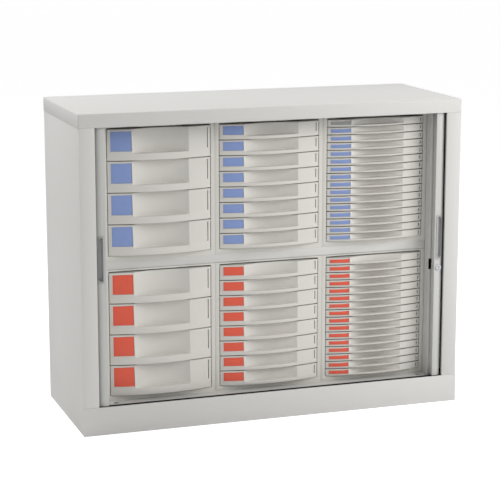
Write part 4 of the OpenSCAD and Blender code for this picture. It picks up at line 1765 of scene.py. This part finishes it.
    def barrel(self) -> bpy.types.Object:
        """Makes the lock barrel with its raised ring and its key slot.

        Returns:
            The finished piece.
        """
        front = Vector((self.lock_x, self.bar_y - self.lock_front, self.lock_z)) * MM
        back = Vector((self.lock_x, self.bar_y + self.lock_back, self.lock_z)) * MM
        piece = rod("lock_cylinder", front, back, self.lock_r * MM, self.round_sides)
        near = self.ring_reach * self.lock_r * MM
        for margin, depth in self.ring:
            pick_faces(piece, lambda centre, normal: normal.y < -FACING and (centre - front).length < near)
            bpy.ops.mesh.inset(thickness=margin * MM, depth=depth * MM)
            leave_edit()
        half_w, half_h = self.key_half_w, self.key_half_h
        slot_low = (self.lock_x - half_w, self.bar_y - 2 * self.lock_front, self.lock_z - half_h)
        slot_high = (self.lock_x + half_w, self.bar_y + self.key_back, self.lock_z + half_h)
        cut(piece, self._mm_block("key_slot", slot_low, slot_high))
        soften(piece, self.lock_edge * MM)
        smooth(piece, self.shaded_angle)
        return dress(piece, self.finishes.chrome, Body.LOCK_BARREL.value, ["lock_barrel"])

    def lock_case(self) -> bpy.types.Object:
        """Makes the lock case inside the right-hand bar.

        Returns:
            The finished piece.
        """
        low, high = zip(self.case_x, self.case_y, self.case_z)
        piece = self._mm_block("lock_case", low, high)

        def by_rounded_wall(a: Vector, b: Vector) -> bool:
            """Picks the front edge at the bar's rounded wall."""
            return all(self._at(p, high[0], low[1]) for p in (a, b))

        round_edges(piece, self.case_corner * MM, self.case_steps, by_rounded_wall)
        cut(piece, self._lock_bore("barrel_hole", 0.0, self.lock_back + self.case_play))
        play = self.lock_play
        reach = self.bolt_h / 2 + play
        slot_low = (low[0] - self.overrun, self.bolt_y - play, self.lock_z - reach)
        slot_high = (high[0] - self.overrun, self.bolt_y + self.bolt_t + play, self.lock_z + reach)
        cut(piece, self._mm_block("bolt_channel", slot_low, slot_high))
        soften(piece, self.case_edge * MM)
        smooth(piece)
        return dress(piece, self.finishes.zinc, Body.RIGHT_SHUTTER.value)

    def slat(self) -> bpy.types.Object:
        """Makes one slat with its share of the web, standing at the middle of its pitch on X and Y 0.

        Returns:
            The slat.
        """
        half_w, half_t = self.slat_w / 2, self.slat_t / 2
        low, high = self.slat_z
        piece = self._mm_block("slat", (-half_w, -half_t, low), (half_w, half_t, high))
        round_edges(piece, self.slat_edge * MM, self.corner_steps, lambda a, b: abs(a.z - b.z) > MM)
        reach = self.slat_pitch / 2
        web = self._mm_block("web", (-reach, -self.web_t / 2, low), (reach, self.web_t / 2, high))
        piece = join("slat", [piece, web])
        smooth(piece, self.shaded_angle)
        return piece

    def path(self, distance: float) -> Matrix:
        """Gives the place and turn on the track, at a distance from the start of its corner.

        Args:
            distance: Distance along the track in millimetres, negative along the front.

        Returns:
            The move that takes a slat from the origin to that place.
        """
        arc_y = self.line_y + self.arc_r
        corner = self.arc_r * math.pi / 2
        if distance < 0:
            x, y, turn = self.arc_x + distance, self.line_y, 0.0
        elif distance < corner:
            turn = distance / self.arc_r
            x, y = self.arc_x + self.arc_r * math.sin(turn), arc_y - self.arc_r * math.cos(turn)
        else:
            x, y, turn = self.side_line_x, arc_y + distance - corner, math.pi / 2
        return Matrix.Translation(Vector((x, y, 0)) * MM) @ Matrix.Rotation(turn, 4, "Z")

    def stowed_curtain(self, slat: bpy.types.Object, name: str) -> bpy.types.Object:
        """Makes the run of curtain that stands along the side.

        Args:
            slat: The slat that is copied.
            name: Name of the piece.

        Returns:
            The run of slats, on the right-hand side.
        """
        slats = []
        distance = (self.front_slats + 0.5) * self.slat_pitch - self.travel
        corner = self.arc_r * math.pi / 2
        length = self.side_end_y - self.line_y - self.arc_r
        while distance + self.slat_pitch / 2 < corner + length:
            slats.append(copied(slat, "stowed_slat", self.path(distance)))
            distance += self.slat_pitch
        return join(name, slats)

    def front_curtain(self, slat: bpy.types.Object, name: str) -> bpy.types.Object:
        """Makes the run of curtain that the lead bar draws over the opening.

        The slats are laid out as they stand with the shutter closed. They are then pushed together behind
        the stile, each point by what the closing shutter will pull it out again.

        Args:
            slat: The slat that is copied.
            name: Name of the piece.

        Returns:
            The run of slats at rest, on the right-hand side.
        """
        slats = []
        for i in range(self.front_slats):
            distance = (i + 0.5) * self.slat_pitch - self.travel
            slats.append(copied(slat, "front_slat", self.path(distance)))
        piece = join(name, slats)
        for vertex in piece.data.vertices:
            vertex.co.x = self._rest_x(vertex.co.x / MM) * MM
        return piece

    def _rest_x(self, closed_x: float) -> float:
        """Finds where a point of the front run stands at rest, by halving.

        Args:
            closed_x: Where it stands with the shutter closed, in millimetres.

        Returns:
            Where it stands at rest, in millimetres.
        """
        low, high = self.arc_x - self.travel, self.fade_start + self.travel
        for _ in range(self.halvings):
            middle = (low + high) / 2
            share = min(max((self.fade_start - middle) / (self.fade_start - self.arc_x), 0.0), 1.0)
            if middle - self.travel * share * share * (3 - 2 * share) < closed_x:
                low = middle
            else:
                high = middle
        return (low + high) / 2

    def _ride_curtain(self, piece: bpy.types.Object) -> bpy.types.Object:
        """Gives a front run of slats its material and moves its place into its mesh.

        Args:
            piece: The run of slats.

        Returns:
            The finished piece.
        """
        piece.data.materials.clear()
        piece.data.materials.append(self.finishes.slat)
        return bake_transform(piece)

    def build(self) -> list[bpy.types.Object]:
        """Makes every piece of both shutters.

        Returns:
            The finished pieces.
        """
        made = []
        finishes = self.finishes
        slat = self.slat()
        stowed, front = self.stowed_curtain(slat, "stowed_slats"), self.front_curtain(slat, "front_slats")
        handle, shoes = self.handle("cup_handle"), self.shoes("running_shoes")
        for side, shutter in ((Side.LEFT, Body.LEFT_SHUTTER), (Side.RIGHT, Body.RIGHT_SHUTTER)):
            word = side.name.lower()
            scale = Matrix.Scale(side.value, 4, (1, 0, 0))
            bar = self.bar(f"{word}_bar_model", side is Side.RIGHT)
            for model, name, finish, slot, body, nodes in (
                (bar, "lead_bar_tube", finishes.bar, Slot.BAR, shutter, [f"{word}_lead_bar"]),
                (shoes, "running_shoes", finishes.track, Slot.TRACK, shutter, []),
                (handle, "cup_handle", finishes.handle, Slot.HANDLE, shutter, [f"{word}_handle"]),
                (stowed, "stowed_slats", finishes.slat, Slot.SLAT, Body.CARCASE, [f"{word}_curtain"]),
            ):
                piece = copied(model, f"{word}_{name}", scale)
                made.append(dress(piece, finish, body.value, nodes))
            made.append(self._ride_curtain(copied(front, f"{word}_front_slats", scale)))
            bpy.data.objects.remove(bar)
        for model in (slat, stowed, front, handle, shoes):
            bpy.data.objects.remove(model)
        made += [self.lock_case(), self.barrel()]
        paint_node("lock_bolt", finishes.zinc)
        return made


# Studio


@dataclass
class Studio:
    """The camera, the lamps, the floor and the background.

    Attributes:
        camera_place: Place of the camera, in metres.
        camera_turn: Turn of the camera round X and Z, in degrees.
        lens: Focal length, in millimetres.
        sensor: Sensor width, in millimetres.
        clip: How far the camera sees, in metres.
        ambient: Strength of the background's light.
        key_power: Power of the key lamp, in front on the right, in watts.
        key_size: Length of its side, in metres.
        key_place: Where it stands.
        top_power: Power of the lamp over the cabinet.
        top_size: Length of its side.
        top_place: Where it hangs.
        fill_power: Power of the weak lamp on the left.
        fill_size: Length of its side.
        fill_place: Where it stands.
        target: Point that every lamp faces.
        floor_size: Length of the floor's side.
        floor_tone: Lightness of the floor.
        floor_roughness: Roughness of the floor.
        floor_glow: Strength of the light that the camera alone sees it give.
    """

    camera_place: tuple[float, float, float] = (-1.7382, -5.0949, 1.5795)
    camera_turn: tuple[float, float] = (78.443, -18.785)
    lens: float = 126.88
    sensor: float = 36.0
    clip: float = 100.0
    ambient: float = 0.42
    key_power: float = 66.0
    key_size: float = 2.0
    key_place: tuple[float, float, float] = (2.2, -1.8, 1.9)
    top_power: float = 41.0
    top_size: float = 2.0
    top_place: tuple[float, float, float] = (-1.8, 0.6, 3.0)
    fill_power: float = 7.0
    fill_size: float = 2.0
    fill_place: tuple[float, float, float] = (-3.0, 0.6, 1.2)
    target: tuple[float, float, float] = (0.0, -0.1, 0.5)
    floor_size: float = 60.0
    floor_tone: float = 0.92
    floor_roughness: float = 0.9
    floor_glow: float = 0.56

    def camera(self) -> None:
        """Adds the camera."""
        data = bpy.data.cameras.new("camera")
        data.lens = self.lens
        data.sensor_width = self.sensor
        data.clip_end = self.clip
        camera = bpy.data.objects.new("camera", data)
        camera.location = self.camera_place
        camera.rotation_euler = (math.radians(self.camera_turn[0]), 0, math.radians(self.camera_turn[1]))
        bpy.context.scene.collection.objects.link(camera)
        bpy.context.scene.camera = camera

    def world(self) -> None:
        """Makes the background white to the camera and a soft even light to everything else."""
        world = bpy.data.worlds.new("studio")
        bpy.context.scene.world = world
        world.use_nodes = True
        nodes, links = world.node_tree.nodes, world.node_tree.links
        nodes.clear()
        result = nodes.new("ShaderNodeOutputWorld")
        mix = nodes.new("ShaderNodeMixShader")
        for socket, strength in ((1, self.ambient), (2, 1.0)):
            background = nodes.new("ShaderNodeBackground")
            background.inputs["Color"].default_value = (1.0, 1.0, 1.0, 1.0)
            background.inputs["Strength"].default_value = strength
            links.new(background.outputs[0], mix.inputs[socket])
        ray = nodes.new("ShaderNodeLightPath")
        seen = ray.outputs["Is Camera Ray"]
        for name in ("Is Glossy Ray", "Is Transmission Ray"):
            seen = maths(world.node_tree, "MAXIMUM", seen, ray.outputs[name]).outputs[0]
        links.new(seen, mix.inputs[0])
        links.new(mix.outputs[0], result.inputs["Surface"])

    def lamp(
        self, name: str, place: tuple[float, float, float], power: float, size: float
    ) -> bpy.types.Object:
        """Adds a square area lamp that faces the cabinet.

        Args:
            name: Name of the lamp.
            place: Where it stands, in metres.
            power: Its power, in watts.
            size: Length of its side, in metres.

        Returns:
            The lamp.
        """
        data = bpy.data.lights.new(name, "AREA")
        data.energy = power
        data.shape = "SQUARE"
        data.size = size
        lamp = bpy.data.objects.new(name, data)
        lamp.location = place
        lamp.rotation_mode = "QUATERNION"
        lamp.rotation_quaternion = (Vector(self.target) - Vector(place)).to_track_quat("-Z", "Y")
        bpy.context.scene.collection.objects.link(lamp)
        return lamp

    def floor(self) -> None:
        """Adds the pale floor that keeps the cabinet's shadow."""
        deselect_all()
        bpy.ops.mesh.primitive_plane_add(size=self.floor_size)
        floor = bpy.context.object
        floor.name = "studio_floor"
        material = bpy.data.materials.new("pale_floor")
        material.use_nodes = True
        tree = material.node_tree
        shader = tree.nodes["Principled BSDF"]
        shader.inputs["Base Color"].default_value = (self.floor_tone, self.floor_tone, self.floor_tone, 1.0)
        shader.inputs["Roughness"].default_value = self.floor_roughness
        shader.inputs["Emission Color"].default_value = (1.0, 1.0, 1.0, 1.0)
        ray = tree.nodes.new("ShaderNodeLightPath")
        glow = maths(tree, "MULTIPLY", ray.outputs["Is Camera Ray"], self.floor_glow)
        tree.links.new(glow.outputs[0], shader.inputs["Emission Strength"])
        floor.data.materials.append(material)

    def build(self) -> None:
        """Sets up the whole studio."""
        self.camera()
        self.world()
        self.floor()
        self.lamp("key_lamp", self.key_place, self.key_power, self.key_size).visible_glossy = False
        self.lamp("top_lamp", self.top_place, self.top_power, self.top_size)
        self.lamp("fill_lamp", self.fill_place, self.fill_power, self.fill_size)
        bpy.context.scene.view_settings.view_transform = "Standard"


# Scene


def main() -> None:
    """Builds every sub-assembly and the studio."""
    logging.basicConfig(level=logging.INFO, format="%(name)s: %(message)s")
    finishes = Finishes()
    for part in (Carcase(finishes), DrawerUnits(finishes), ShutterParts(finishes)):
        for piece in part.build():
            LOG.info("%s, %d faces", piece.name, len(piece.data.polygons))
    Studio().build()


if __name__ == "__main__":
    main()
